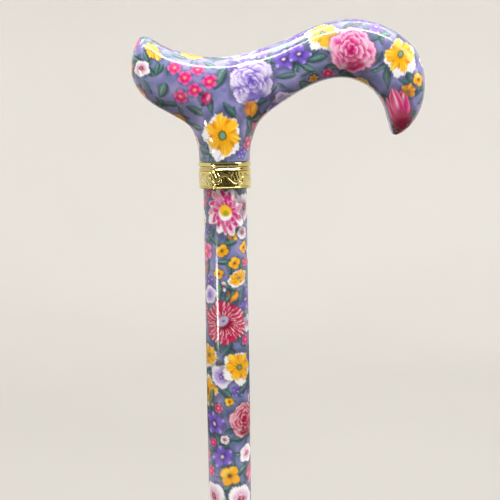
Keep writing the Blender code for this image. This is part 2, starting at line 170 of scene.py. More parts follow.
def roundCorners(profile, radius, steps=4):
    # rounds the corners of a closed outline as far as their sides allow
    made = []
    for before, corner, after in zip(profile[-1:] + profile[:-1], profile, profile[1:] + profile[:1]):
        before, corner, after = Vector(before), Vector(corner), Vector(after)
        back, ahead = before - corner, after - corner
        reach = min(radius, back.length * 0.42, ahead.length * 0.42)
        if corner.x < 0.0001 or reach < 0.00002:
            made.append(tuple(corner))
            continue
        start, end = corner + back.normalized() * reach, corner + ahead.normalized() * reach
        for k in range(steps + 1):
            t = k / steps
            made.append(tuple(start * (1 - t) ** 2 + corner * 2 * t * (1 - t) + end * t * t))
    return made


def stack(radius, fromHeight, toHeight, count):
    # close rows up a wall, for what is carved in it
    return [(radius, fromHeight + (toHeight - fromHeight) * k / count) for k in range(count + 1)]


def meshOf(name, points, faces):
    mesh = bpy.data.meshes.new(name)
    mesh.from_pydata(points.tolist(), [], faces)
    return mesh


def closeUp(mesh, merge=0.000002, slivers=True):
    # merges points nearer than that, drops slivers and turns all faces outwards
    bm = bmesh.new()
    bm.from_mesh(mesh)
    if merge:
        bmesh.ops.remove_doubles(bm, verts=bm.verts, dist=merge)
    if slivers:
        bmesh.ops.dissolve_degenerate(bm, edges=bm.edges, dist=merge)
    bmesh.ops.recalc_face_normals(bm, faces=bm.faces)
    bm.to_mesh(mesh)
    bm.free()
    return mesh


def applied(shown, *others):
    # the mesh of the first object with its modifiers or its curve applied; all of them are removed
    for helper in (shown, *others):
        bpy.context.scene.collection.objects.link(helper)
    graph = bpy.context.evaluated_depsgraph_get()
    mesh = bpy.data.meshes.new_from_object(shown.evaluated_get(graph))
    for helper in (shown, *others):
        bpy.data.objects.remove(helper)
    return mesh


def carve(points, centre, change):
    # moves each point in or out: change gives its new radius from radius, turn and height
    x, y = points[:, 0] - centre[0], points[:, 1] - centre[1]
    turn = np.arctan2(y, x)
    radius = change(np.hypot(x, y), turn, points[:, 2])
    return np.stack([centre[0] + radius * np.cos(turn), centre[1] + radius * np.sin(turn), points[:, 2]], 1)


def turned(name, profile, steps=96, centre=None, change=None):
    # a turned mesh; a profile that ends on the axis is closed there
    centre = centre or (shaftX, shaftY)
    points, faces = revolve(profile, steps, centre)
    if change:
        points = carve(points, centre, change)
    return closeUp(meshOf(name, points, faces))


# the floral print, painted on the mesh points in layers

printTones = {
    "ground": linear(144, 142, 200),
    "groundCool": linear(108, 122, 164),
    "groundWarm": linear(168, 158, 208),
    "shade": linear(46, 56, 76),
    "leafDark": linear(42, 74, 78),
    "leaf": linear(82, 132, 122),
    "leafLight": linear(150, 196, 178),
    "white": linear(250, 248, 252),
    "whiteShade": linear(188, 188, 222),
    "eye": linear(112, 160, 140),
    "eyeRing": linear(74, 84, 30),
    "cream": linear(236, 214, 196),
    "gold": linear(250, 196, 40),
    "pollen": linear(255, 176, 120),
    "moss": linear(150, 164, 36),
}
# deep, middle and light tone of each kind of petal
petalTones = {
    "pink": (linear(186, 16, 92), linear(238, 78, 166), linear(255, 214, 238)),
    "crimson": (linear(134, 10, 46), linear(206, 34, 88), linear(250, 206, 218)),
    "magenta": (linear(150, 14, 66), linear(222, 52, 130), linear(250, 178, 210)),
    "rosy": (linear(146, 16, 84), linear(208, 42, 128), linear(250, 204, 232)),
    "lavender": (linear(104, 78, 186), linear(186, 164, 234), linear(246, 238, 255)),
    "violet": (linear(66, 46, 132), linear(124, 94, 204), linear(186, 168, 234)),
    "red": (linear(156, 10, 92), linear(232, 40, 142), linear(252, 150, 208)),
    "white": (linear(152, 22, 80), linear(238, 200, 224), linear(252, 248, 253)),
    "gold": (linear(214, 122, 8), linear(248, 178, 22), linear(255, 222, 84)),
    "orange": (linear(178, 92, 18), linear(232, 150, 30), linear(250, 190, 84)),
}


def polar(u, v):
    return np.hypot(u, v), np.arctan2(v, u)


def wobble(u, v, rng, amount):
    # bends a flower a little, so that no two are alike
    a, b, c, d = rng.uniform(0, 2 * math.pi, 4)
    f, g = rng.uniform(2.0, 4.5, 2)
    du = np.sin(v * f + a) + 0.6 * np.sin(u * 2.1 * g + v * 1.7 * f + b)
    dv = np.sin(u * g + c) + 0.6 * np.sin(v * 2.3 * f - u * 1.9 * g + d)
    return u + amount * du, v + amount * dv


def strokes(t, rng, count=4, low=11, high=40):
    # the marks of a fine brush round a flower, about -1 to 1
    total = 0
    for _ in range(count):
        total = total + np.cos(int(rng.integers(low, high)) * t + rng.uniform(0, 2 * math.pi))
    return total / math.sqrt(count)


def petals(u, v, count, reach, length, width, turn, jitter, rng):
    # each petal of a ring, as the distance from its middle and the way along it
    for k in rng.permutation(count):
        a = turn + 2 * math.pi * k / count + rng.uniform(-jitter, jitter)
        out = reach * rng.uniform(1 - 0.4 * jitter, 1 + 0.3 * jitter)
        along = (u * math.cos(a) + v * math.sin(a) - out) / length
        across = (-u * math.sin(a) + v * math.cos(a)) / width
        yield np.hypot(along, across), along, across


def paintRose(u, v, tones, rng):
    deep, middle, light = tones
    r, t = polar(u, v)
    start = rng.uniform(0, 6.28)
    rings = ((7, 0.60, 0.37), (7, 0.44, 0.31), (5, 0.28, 0.26), (4, 0.13, 0.18))
    for level, (count, reach, size) in enumerate(rings):
        for d, along, across in petals(u, v, count, reach, size, size * 1.15, start + level, 0.4, rng):
            ruffle = 0.06 * np.sin(across * 8 + level) + 0.04 * np.sin(across * 19 + along * 6)
            d = d + ruffle
            yield deep, (0.5 + 0.12 * level) * (1 - softStep(d, 1.0, 1.16 + 0.06 * level))
            body = blendTone(deep, middle, softStep(along + 3 * ruffle, -0.9, 0.05))
            lip = softStep(d, 0.4, 0.9) * softStep(along + 2 * ruffle, -0.2, 0.5)
            shine = rng.uniform(0.55, 1.0)
            yield blendTone(body, light, lip * shine), 1 - softStep(d, 0.9, 1.04)
    curl = np.cos(t * 2 - r * 15 + start)
    yield deep, (1 - softStep(r, 0.1, 0.3)) * softStep(curl, 0.1, 0.7) * 0.9
    lines = softStep(strokes(t + 0.3 * np.sin(r * 9), rng), 0.6, 1.4) * softStep(r, 0.2, 0.5)
    yield deep, lines * 0.4 * (1 - softStep(r, 0.75, 0.85))
    # the lower petals lie in shade, the outer ones catch the light
    below = softStep(-v - 0.35 * np.abs(u) + 0.1 * np.sin(9 * t), 0.12, 0.6)
    yield deep, 0.8 * below * (1 - softStep(r, 0.8, 0.92))
    yield light, 0.5 * softStep(np.abs(u) + 0.3 * np.sin(t * 5), 0.4, 0.95) * (1 - softStep(r, 0.84, 0.94))


def paintBloom(u, v, tones, rng, reach=0.92):
    # ragged yellow petals round a green eye
    deep, middle, light = tones
    r, t = polar(u, v)
    start = rng.uniform(0, 6.28)
    fray = strokes(t, rng, 4, 9, 34)
    lobes = np.cos(6 * (t + start) + 0.7 * np.sin(2 * t))
    ragged = reach * (1 - 0.11 + 0.11 * lobes + 0.07 * fray)
    body = blendTone(middle, light, softStep(fray + 0.5 * lobes, -0.2, 1.3) * softStep(r, 0.25, 0.7))
    body = blendTone(body, deep, 0.75 * softStep(-lobes, 0.55, 1.0) * softStep(r, 0.28, 0.5))
    yield body, 1 - softStep(r, ragged - 0.05, ragged + 0.03)
    yield deep, 0.7 * (1 - softStep(r, 0.18, 0.46)) * softStep(fray, -0.3, 0.8)
    yield printTones["eyeRing"], 0.9 * (1 - softStep(r - 0.03 * fray, 0.15, 0.22))
    yield printTones["eye"], 1 - softStep(np.hypot(u * 1.15, v), 0.09, 0.14)


def paintAnemone(u, v, tones, rng):
    # the same bloom on a skirt of white petals
    r, t = polar(u + 0.06, v + 0.10)
    fray = strokes(t, rng, 4, 9, 34)
    white = 0.85 + 0.08 * np.cos(5 * t + rng.uniform(0, 6.28)) + 0.045 * fray
    tone = blendTone(printTones["white"], printTones["whiteShade"], softStep(fray, 0.5, 1.6) * 0.8)
    yield tone, 1 - softStep(r, white - 0.04, white + 0.04)
    yield from paintBloom(u, v, tones, rng, 0.84)


def paintDaisy(u, v, tones, rng):
    deep, middle, light = tones
    r, t = polar(u, v)
    # broad pale petals behind, then narrow bright ones
    for count, reach, pale in ((8, 0.98, 0.95), (13, 0.94, 0.0), (11, 0.66, 0.0)):
        start = rng.uniform(0, 6.28)
        phase = (t + 0.14 * np.sin(r * 5 + start) + start) * count / (2 * math.pi)
        which = np.floor(phase).astype(int) % count
        off = np.abs(phase - np.floor(phase) - 0.5)
        lengths = reach * rng.uniform(0.78, 1.04, count)[which]
        paleness = np.clip(pale + rng.uniform(-0.3, 0.3, count)[which], 0, 1)
        rim = lengths * (1 - 1.3 * off ** 1.7)
        body = blendTone(deep, middle, softStep(r / lengths, 0.2, 0.6))
        body = blendTone(body, printTones["white"], paleness * softStep(r, 0.2, 0.5))
        body = blendTone(body, light, softStep(off, 0.25, 0.42) * 0.55)
        body = blendTone(body, printTones["white"], 0.7 * softStep(r / rim, 0.88, 1.0))
        body = blendTone(body, deep, 0.8 * softStep(off, 0.4, 0.5))
        yield deep, 0.4 * (1 - softStep(r, rim, rim + 0.07))
        yield body, 1 - softStep(r, rim - 0.03, rim + 0.02)
    yield printTones["white"], (1 - softStep(np.hypot(u + 0.03, v + 0.1), 0.24, 0.31)) * 0.95
    yield deep, 0.6 * (1 - softStep(np.hypot(u, v + 0.02), 0.24, 0.29)) * softStep(v, -0.05, 0.1)
    yield printTones["gold"], 1 - softStep(np.hypot(u / 1.15, v - 0.02), 0.18, 0.24)
    yield printTones["moss"], (1 - softStep(np.hypot(u, v + 0.06), 0.07, 0.15)) * 0.9


def paintPeony(u, v, tones, rng):
    # torn petals with pale streaks round a pale heart
    deep, middle, light = tones
    r, t = polar(u, v)
    for reach, dark in ((1.0, 0.1), (0.80, 0.5), (0.58, 0.9)):
        start = rng.uniform(0, 6.28)
        fray = strokes(t + 0.2 * r, rng, 4, 15, 46)
        lobes = np.abs(np.cos((t + start) * 3)) ** 0.5
        rim = reach * (0.80 + 0.15 * lobes + 0.05 * fray)
        body = blendTone(middle, deep, dark * (1 - softStep(r / reach, 0.4, 1.0)))
        body = blendTone(body, deep, (1 - softStep(lobes, 0.2, 0.6)) * 0.7)
        streak = softStep(fray, 0.2, 1.1) * softStep(r / reach, 0.35, 0.85)
        yield deep, 0.6 * (1 - softStep(r, rim, rim + 0.1))
        yield blendTone(body, light, streak * 0.9), 1 - softStep(r, rim - 0.03, rim + 0.02)
    heart = np.hypot(u / 1.5, v - 0.1 - 0.2 * u)
    yield printTones["whiteShade"], 0.9 * (1 - softStep(heart, 0.14, 0.22))
    yield deep, 0.8 * softStep(np.abs(v - 0.14 + 0.3 * u), 0.0, 0.03) * (1 - softStep(heart, 0.02, 0.08))


def paintSmall(u, v, tones, rng):
    deep, middle, light = tones
    r, t = polar(u, v)
    lobes = np.abs(np.cos(2.5 * (t + rng.uniform(0, 6.28)))) ** 0.5
    rim = 0.58 + 0.38 * lobes
    body = blendTone(middle, light, softStep(r, 0.5, 0.95) * 0.5)
    body = blendTone(body, deep, (1 - softStep(lobes, 0.3, 0.75)) * 0.8)
    yield blendTone(linear(236, 60, 92), body, softStep(r, 0.2, 0.46)), 1 - softStep(r, rim - 0.08, rim + 0.1)
    yield printTones["pollen"], 0.9 * (1 - softStep(r, 0.1, 0.28))


def paintGoldSmall(u, v, tones, rng):
    deep, middle, light = tones
    r, t = polar(u, v)
    lobes = np.abs(np.cos(2 * (t + rng.uniform(0, 6.28)))) ** 0.5
    rim = 0.66 + 0.3 * lobes
    body = blendTone(deep, middle, softStep(r, 0.15, 0.5))
    body = blendTone(body, deep, (1 - softStep(lobes, 0.2, 0.6)) * 0.8)
    yield body, 1 - softStep(r, rim - 0.08, rim + 0.08)
    yield light, 0.8 * softStep(v - u, 0.0, 0.8) * (1 - softStep(r, rim - 0.2, rim))
    yield printTones["eyeRing"], 1 - softStep(r, 0.12, 0.26)


def paintWhite(u, v, tones, rng):
    deep, middle, light = tones
    r, t = polar(u, v)
    start = rng.uniform(0, 6.28)
    fray = strokes(t, rng)
    rim = 0.80 + 0.15 * np.abs(np.cos(2.5 * (t + start))) + 0.03 * fray
    yield light, 1 - softStep(r, rim - 0.06, rim + 0.05)
    yield middle, 0.9 * (1 - softStep(r, 0.4, 0.8))
    vein = softStep(fray, -0.2, 1.0) * (1 - softStep(r, 0.3, 0.66))
    yield blendTone(deep, middle, 0.2), vein * 0.9
    yield deep, 1 - softStep(r - 0.05 * fray, 0.16, 0.34)
    yield printTones["pollen"], 0.8 * (1 - softStep(r, 0.05, 0.12))


def paintViolet(u, v, tones, rng):
    deep, middle, light = tones
    start = rng.uniform(0, 6.28)
    for d, along, across in petals(u, v, 5, 0.5, 0.48, 0.36, start, 0.2, rng):
        yield deep, 0.4 * (1 - softStep(d, 1.0, 1.25))
        body = blendTone(deep, middle, softStep(along, -1.0, 0.1))
        yield blendTone(body, light, softStep(along + 0.3 * np.cos(across * 5), 0.4, 1.0)), \
            1 - softStep(d, 0.9, 1.04)
    r, t = polar(u, v)
    yield deep, 0.8 * (1 - softStep(r, 0.15, 0.5)) * softStep(strokes(t, rng, 3, 5, 14), 0, 0.9)
    yield printTones["cream"], 0.9 * (1 - softStep(r, 0.08, 0.18))


def paintBud(u, v, tones, rng):
    deep, middle, light = tones
    cup = np.hypot(u / 0.95, v / (0.66 + 0.14 * u))
    body = blendTone(middle, deep, softStep(v + 0.15 * np.sin(u * 6), -0.1, 0.6))
    yield body, 1 - softStep(cup, 0.88, 1.04)
    yield light, 0.7 * (1 - softStep(np.hypot((u - 0.3) / 0.6, (v + 0.25) / 0.22), 0.6, 1))
    yield deep, 0.6 * (1 - softStep(np.abs(v - 0.12 * np.sin(u * 3)), 0.02, 0.09)) * (cup < 0.8)
    yield printTones["leafDark"], 1 - softStep(np.hypot((u + 0.86) / 0.34, v / 0.3), 0.8, 1)


def paintLily(u, v, tones, rng):
    deep, middle, light = tones
    petalLines = ((0.42, 0.78, 0.42), (-0.4, 0.8, 0.42), (0.0, 0.92, 0.44))
    for a, length, wide in petalLines:
        along = (u + 0.72) * math.cos(a) + v * math.sin(a)
        across = -(u + 0.72) * math.sin(a) + v * math.cos(a)
        share = np.clip(along / (length * 1.8), 0, 1)
        width = wide * (4 * share * (1 - share)) ** 0.6 + 0.001
        edge = np.abs(across) / width
        inside = (1 - softStep(edge, 0.85, 1.0)) * (share > 0) * (share < 1)
        yield deep, 0.7 * (1 - softStep(edge, 1.0, 1.3)) * (share > 0.02) * (share < 0.98)
        body = blendTone(deep, middle, softStep(share, 0.15, 0.6))
        body = blendTone(body, light, softStep(edge, 0.6, 1.0) * softStep(share, 0.3, 0.7) * 0.8)
        yield body, inside
        ridge = (1 - softStep(edge, 0.05, 0.28)) * softStep(share, 0.35, 0.6)
        yield printTones["white"], 0.6 * inside * ridge
    yield deep, 1 - softStep(np.hypot((u + 0.66) / 0.34, v / 0.3), 0.8, 1.05)


def paintLeaf(u, v, tones, rng):
    width = 0.44 * np.clip(1 - u * u, 0, 1) ** 0.8 * (1 + 0.25 * u) + 0.001
    side = np.abs(v) / width
    inside = (1 - softStep(side, 0.6, 1.1)) * (np.abs(u) < 0.98)
    bright = rng.uniform(0, 1)
    pale = blendTone(printTones["leaf"], printTones["leafLight"], bright)
    body = blendTone(pale, printTones["leaf"], softStep(side, 0.0, 0.5))
    body = blendTone(body, printTones["leafDark"], softStep(side + 0.5 * (v < 0), 0.35, 1.0))
    yield body, inside * (0.75 + 0.2 * bright)
    vein = 1 - softStep(np.abs(np.sin(u * 9 - side * 2.4)), 0.1, 0.35)
    rib = 1 - softStep(np.abs(v), 0.02, 0.07)
    yield printTones["leafDark"], inside * np.maximum(rib * 0.7, vein * 0.4 * (side < 0.75))


painters = {
    "rose": paintRose, "anemone": paintAnemone, "daisy": paintDaisy, "small": paintSmall,
    "goldSmall": paintGoldSmall, "white": paintWhite, "violet": paintViolet, "bud": paintBud,
    "lily": paintLily, "leaf": paintLeaf, "peony": paintPeony, "bloom": paintBloom,
}


def plant(canvas, kind, tone, at, size, turn=0, squash=1, halo=0.55):
    # paints one flower; at is a place on the canvas, size its radius in millimetres
    reach = size * 1.35
    index, u, v = canvas["near"](at, reach)
    if not len(index):
        return
    c, s = math.cos(math.radians(turn)), math.sin(math.radians(turn))
    u, v = (u * c + v * s) / size, (-u * s + v * c) / (size * squash)
    rng = canvas["rng"]
    colour = canvas["colour"]
    u, v = wobble(u, v, rng, 0.02 if kind == "leaf" else 0.045)
    if kind != "leaf":
        rim = np.hypot(u, v) + 0.08 * np.sin(np.arctan2(v, u) * 7 + rng.uniform(0, 6))
        dark = (1 - softStep(rim, 0.9, 1.25)) * halo
        colour[index] = blendTone(colour[index], printTones["shade"], dark)
    for paint, mask in painters[kind](u, v, petalTones.get(tone), rng):
        colour[index] = blendTone(colour[index], paint, np.clip(mask, 0, 1))


def leafRound(canvas, at, size, count):
    # leaves that look out from under a flower
    rng = canvas["rng"]
    for _ in range(count):
        a = rng.uniform(0, 2 * math.pi)
        length = rng.uniform(0.4, 0.62) * min(size, 9)
        out = size * 0.92 + length * 0.2
        spot = canvas["shift"](at, out * math.cos(a), out * math.sin(a))
        plant(canvas, "leaf", None, spot, length, math.degrees(a) + rng.uniform(-30, 30))


def groundCoat(canvas):
    points = canvas["points"]
    cool = softStep(mottle(points, 13, 3), -0.6, 1.2)
    warm = softStep(mottle(points, 8, 5), 0.0, 1.5)
    colour = blendTone(printTones["ground"], printTones["groundCool"], np.clip(cool + canvas["cool"], 0, 1))
    colour = blendTone(colour, printTones["groundWarm"], warm * 0.6)
    shade = softStep(mottle(points, 5, 8), 0.7, 1.7)
    canvas["colour"] = blendTone(colour, printTones["shade"], shade * 0.25)


scatterSizes = {
    # kind, tone, lowest and highest radius in millimetres
    "big": [("rose", "pink", 9, 12), ("rose", "lavender", 9, 11.5), ("anemone", "gold", 8.5, 11),
            ("daisy", "pink", 9.5, 12), ("peony", "crimson", 9, 11), ("anemone", "gold", 8, 10)],
    "middle": [("violet", "violet", 4.5, 6.5), ("white", "white", 4.5, 6), ("bud", "orange", 4, 5),
               ("lily", "magenta", 6, 8), ("anemone", "gold", 5.5, 7), ("small", "red", 3.6, 4.4),
               ("violet", "violet", 4, 6)],
    "little": [("small", "red", 2.4, 3.3), ("goldSmall", "gold", 2.4, 3.3), ("violet", "violet", 2.4, 3.4),
               ("small", "magenta", 2.4, 3.2), ("white", "white", 2.6, 3.4)],
}


def scatter(canvas, taken, tries):
    # fills what the set flowers leave free: big flowers first, then smaller ones
    rng = canvas["rng"]
    found = []
    for level, spread in (("big", 0.84), ("middle", 0.86), ("little", 0.92)):
        choice = scatterSizes[level]
        for attempt in range(tries[level]):
            kind, tone, low, high = choice[attempt % len(choice)]
            size = rng.uniform(low, high)
            at = canvas["pick"]()
            gaps = [canvas["apart"](at, other) - spread * (size + far) for other, far in taken]
            if gaps and min(gaps) < 0:
                continue
            taken.append((at, size))
            found.append((kind, tone, at, size, rng.uniform(0, 360)))
    return found


def paintPrint(canvas, flowers, tries):
    # flowers: (kind, tone, place, radius, turn, squash), the first ones lie underneath
    groundCoat(canvas)
    rng = canvas["rng"]
    taken = [(place, size) for kind, _, place, size, _, _ in flowers if kind != "leaf"]
    extra = scatter(canvas, taken, tries)
    for _ in range(tries["leaves"]):
        plant(canvas, "leaf", None, canvas["pickLeaf"](), rng.uniform(2.6, 4.6), rng.uniform(0, 360))
    for kind, tone, at, size, turn in extra:
        leafRound(canvas, at, size, 4 if size > 5 else 2)
    for kind, tone, at, size, turn in reversed(extra):
        plant(canvas, kind, tone, at, size, turn)
    for kind, tone, at, size, turn, squash in flowers:
        if kind != "leaf" and size > 4:
            leafRound(canvas, at, size, 3)
    for kind, tone, at, size, turn, squash in flowers:
        plant(canvas, kind, tone, at, size, turn, squash)
    fade = mottle(canvas["points"], 22, 31) * 0.04
    canvas["colour"] = np.clip(canvas["colour"] * (1 + fade[:, None]), 0, 1)


def storeColours(mesh, colour):
    layer = mesh.color_attributes.new("print", "FLOAT_COLOR", "POINT")
    flat = np.ones((len(colour), 4), np.float32)
    flat[:, :3] = colour
    layer.data.foreach_set("color", flat.ravel())


def meshArrays(mesh):
    # points in millimetres from the shaft's axis and the collar's top, and their normals
    points = np.empty(len(mesh.vertices) * 3)
    mesh.vertices.foreach_get("co", points)
    normals = np.empty(len(mesh.vertices) * 3)
    mesh.vertices.foreach_get("normal", normals)
    points = (points.reshape(-1, 3) - (shaftX, shaftY, collarTop)) / mm
    return points, normals.reshape(-1, 3)


def solidCanvas(mesh, seed):
    # for a free shape: a flower lies flat at its middle and bends with the surface
    points, normals = meshArrays(mesh)
    rng = np.random.default_rng(seed)

    def upright(at):
        # the way up along the surface there
        up = np.array((0.03, 1.0, 1.02))
        up -= normals[at] * (up @ normals[at])
        return up / np.linalg.norm(up)

    def near(at, reach):
        away = points - points[at]
        index = np.flatnonzero((np.abs(away).max(axis=1) < reach) & (normals @ normals[at] > -0.25))
        away = away[index]
        length = np.linalg.norm(away, axis=1)
        up = upright(at)
        side = np.cross(up, normals[at])
        u, v = away @ side, away @ up
        flat = np.maximum(np.hypot(u, v), 1e-6)
        return index, u * length / flat, v * length / flat

    def shift(at, u, v):
        up = upright(at)
        goal = points[at] + np.cross(up, normals[at]) * u + up * v
        return int(np.argmin(((points - goal) ** 2).sum(axis=1)))

    behind = np.flatnonzero(normals[:, 1] > -0.35)  # the near side has its flowers listed

    return {
        "points": points, "rng": rng, "near": near, "shift": shift, "cool": -0.2,
        "pick": lambda: int(rng.choice(behind)),
        "pickLeaf": lambda: int(rng.integers(len(points))),
        "apart": lambda a, b: float(np.linalg.norm(points[a] - points[b])),
    }


def tubeCanvas(mesh, seed):
    # for a tube: places are the way round and the height, both in millimetres
    points, _ = meshArrays(mesh)
    rng = np.random.default_rng(seed)
    radius = tubeRadius / mm
    girth = 2 * math.pi * radius
    arc = np.arctan2(points[:, 0], -points[:, 1]) * radius
    height = points[:, 2]
    low, high = height.min(), height.max()

    def wrap(x):
        return (x + girth / 2) % girth - girth / 2

    def near(at, reach):
        u, v = wrap(arc - at[0]), height - at[1]
        index = np.flatnonzero((np.abs(u) < reach) & (np.abs(v) < reach))
        return index, u[index], v[index]

    def anywhere():
        return rng.uniform(-girth / 2, girth / 2), rng.uniform(low, high)

    return {
        "points": points, "rng": rng, "near": near, "cool": 0.25,
        "shift": lambda at, u, v: (at[0] + u, at[1] + v),
        "pick": anywhere, "pickLeaf": anywhere,
        "apart": lambda a, b: math.hypot(wrap(a[0] - b[0]), a[1] - b[1]),
    }


# finishes

def roughAndBump(tree, shader, wear, limits, skin, strength, distance):
    rough = put(tree, "MapRange", {"Value": wear, "To Min": limits[0], "To Max": limits[1]})
    tree.links.new(rough.outputs["Result"], shader.inputs["Roughness"])
    bump = put(tree, "Bump", {"Height": skin, "Strength": strength, "Distance": distance})
    tree.links.new(bump.outputs["Normal"], shader.inputs["Normal"])


def printedFinish(name, look):
    made, tree, shader = finishOf(name, {
        "Coat Weight": look["coat"], "Coat Roughness": look["coatRoughness"], "Coat IOR": 1.5,
        "IOR": 1.46, "Specular IOR Level": 0.4,
    })
    paint = put(tree, "Attribute", attribute_name="print", attribute_type="GEOMETRY")
    where = put(tree, "TexCoord").outputs["Object"]
    grain = put(tree, "TexNoise", {"Vector": where, "Scale": 2600.0, "Detail": 2.0}).outputs["Fac"]
    lift = ramp(tree, grain, [(0.25, grey(0.93)), (0.75, grey(1.06))])
    coloured = mixTones(tree, 1.0, paint.outputs["Color"], lift, "MULTIPLY")
    tree.links.new(coloured, shader.inputs["Base Color"])
    handling = put(tree, "TexNoise", {"Vector": where, "Scale": 60.0, "Detail": 4.0}).outputs["Fac"]
    skin = put(tree, "TexNoise", {"Vector": where, "Scale": look["skinScale"], "Detail": 1.0}).outputs["Fac"]
    roughAndBump(tree, shader, handling, look["roughness"], skin, look["skin"], 0.0002)
    return made


def metalFinish(name, look):
    made, tree, shader = finishOf(name, {"Metallic": 1.0})
    where = put(tree, "TexCoord").outputs["Object"]
    stretch = put(tree, "Mapping", {"Vector": where, "Scale": look["grainScale"]}).outputs["Vector"]
    grain = put(tree, "TexNoise", {"Vector": stretch, "Scale": 1.0, "Detail": 5.0}).outputs["Fac"]
    cloud = put(tree, "TexNoise", {"Vector": where, "Scale": 90.0, "Detail": 3.0}).outputs["Fac"]
    tint = ramp(tree, cloud, [(0.3, look["dark"]), (0.7, look["light"])])
    tree.links.new(tint, shader.inputs["Base Color"])
    roughAndBump(tree, shader, grain, look["roughness"], grain, look["bump"], 0.0001)
    return made


def mouldedFinish(name, look):
    # plastic, rubber and powder coat: a fine skin, worn a little on the edges
    made, tree, shader = finishOf(name, {"Specular IOR Level": look["specular"]})
    where = put(tree, "TexCoord").outputs["Object"]
    fine = put(tree, "TexNoise", {"Vector": where, "Scale": look["skinScale"], "Detail": 3.0}).outputs["Fac"]
    cloud = put(tree, "TexNoise", {"Vector": where, "Scale": 35.0, "Detail": 4.0}).outputs["Fac"]
    tint = ramp(tree, cloud, [(0.3, look["dark"]), (0.7, look["light"])])
    edge = put(tree, "NewGeometry").outputs["Pointiness"]
    worn = ramp(tree, edge, [(0.52, grey(0.0)), (0.62, grey(look["wear"]))])
    coloured = mixTones(tree, worn, tint, (*look["worn"], 1))
    tree.links.new(coloured, shader.inputs["Base Color"])
    roughAndBump(tree, shader, cloud, look["roughness"], fine, look["bump"], 0.0002)
    return made


handleLacquer = printedFinish("handleLacquer", {
    "coat": 1.0, "coatRoughness": 0.02, "roughness": (0.25, 0.4), "skin": 0.08, "skinScale": 420.0})
tubeLacquer = printedFinish("tubeLacquer", {
    "coat": 0.8, "coatRoughness": 0.09, "roughness": (0.3, 0.45), "skin": 0.1, "skinScale": 600.0})
goldPlate = metalFinish("goldPlate", {
    "dark": (0.70, 0.57, 0.20), "light": (0.86, 0.77, 0.38), "roughness": (0.06, 0.16),
    "grainScale": (900, 900, 1500), "bump": 0.03})
anodisedTube = metalFinish("anodisedTube", {
    "dark": (0.38, 0.38, 0.39), "light": (0.52, 0.52, 0.53), "roughness": (0.20, 0.32),
    "grainScale": (1400, 1400, 30), "bump": 0.04})
brightSteel = metalFinish("brightSteel", {
    "dark": (0.52, 0.52, 0.53), "light": (0.68, 0.68, 0.69), "roughness": (0.14, 0.26),
    "grainScale": (1200, 1200, 1200), "bump": 0.1})
springSteel = metalFinish("springSteel", {
    "dark": (0.20, 0.21, 0.25), "light": (0.32, 0.33, 0.38), "roughness": (0.25, 0.4),
    "grainScale": (800, 800, 2000), "bump": 0.2})
powderCoat = mouldedFinish("powderCoat", {
    "dark": (0.012, 0.012, 0.014), "light": (0.026, 0.026, 0.029), "worn": (0.16, 0.16, 0.165),
    "wear": 0.5, "roughness": (0.34, 0.48), "skinScale": 1500.0, "bump": 0.25, "specular": 0.5})
blackNylon = mouldedFinish("blackNylon", {
    "dark": (0.016, 0.016, 0.017), "light": (0.03, 0.03, 0.032), "worn": (0.11, 0.11, 0.11),
    "wear": 0.6, "roughness": (0.42, 0.58), "skinScale": 2200.0, "bump": 0.2, "specular": 0.45})
paleNylon = mouldedFinish("paleNylon", {
    "dark": (0.50, 0.48, 0.42), "light": (0.60, 0.58, 0.52), "worn": (0.7, 0.69, 0.64),
    "wear": 0.4, "roughness": (0.4, 0.55), "skinScale": 1800.0, "bump": 0.15, "specular": 0.45})
footRubber = mouldedFinish("footRubber", {
    "dark": (0.020, 0.020, 0.021), "light": (0.045, 0.045, 0.046), "worn": (0.13, 0.125, 0.12),
    "wear": 0.8, "roughness": (0.62, 0.85), "skinScale": 900.0, "bump": 0.4, "specular": 0.3})
print("finishes ready")


# handle

handleShape = {
    # sections from nose to hook, in millimetres from the shaft's axis and the collar's top:
    # upper edge, lower edge, half of the depth
    "sections": [
        ((-45.3, 55.0), (-45.4, 41.6), 8.0),
        ((-41.0, 63.5), (-41.0, 34.0), 12.0),
        ((-32.2, 60.2), (-32.2, 27.2), 13.0),
        ((-19.5, 55.2), (-19.5, 19.8), 13.2),
        ((0.0, 52.8), (0.0, 22.4), 13.2),
        ((18.5, 56.6), (19.5, 21.6), 13.4),
        ((32.0, 61.3), (31.0, 30.2), 13.8),
        ((46.7, 67.6), (45.0, 38.0), 14.4),
        ((62.5, 70.9), (59.0, 41.4), 14.6),
        ((77.5, 68.7), (70.2, 38.7), 14.3),
        ((91.3, 61.3), (77.8, 32.6), 13.6),
        ((100.6, 48.4), (81.8, 24.6), 12.6),
        ((101.4, 30.4), (84.2, 15.7), 11.0),
        ((96.4, 19.2), (86.6, 12.3), 7.0),
    ],
    "noseEnd": (-46.3, 48.4),
    "hookEnd": (91.0, 13.7),
    "neck": (3, 4, 5),  # the sections that the neck opens under
    "neckRings": [(13.2, 15.0, 13.6), (6.4, 13.3, 13.1), (0.35, 13.0, 13.0)],
    "shoulder": 24.4,
    "corner": 0.76,
    "waist": 0.08,
    "smoothing": 5,
}


def cageSection(top, bottom, halfDepth):
    top, bottom = Vector((top[0], 0, top[1])), Vector((bottom[0], 0, bottom[1]))
    centre, rise = (top + bottom) / 2, (top - bottom) / 2
    side = Vector((0, halfDepth, 0))
    corner = handleShape["corner"]
    front = [centre + rise * corner - side * corner,
             centre + rise * handleShape["waist"] - side,
             centre - rise * corner - side * corner]
    back = [Vector((p.x, -p.y, p.z)) for p in reversed(front)]
    return [top, *front, bottom, *back]


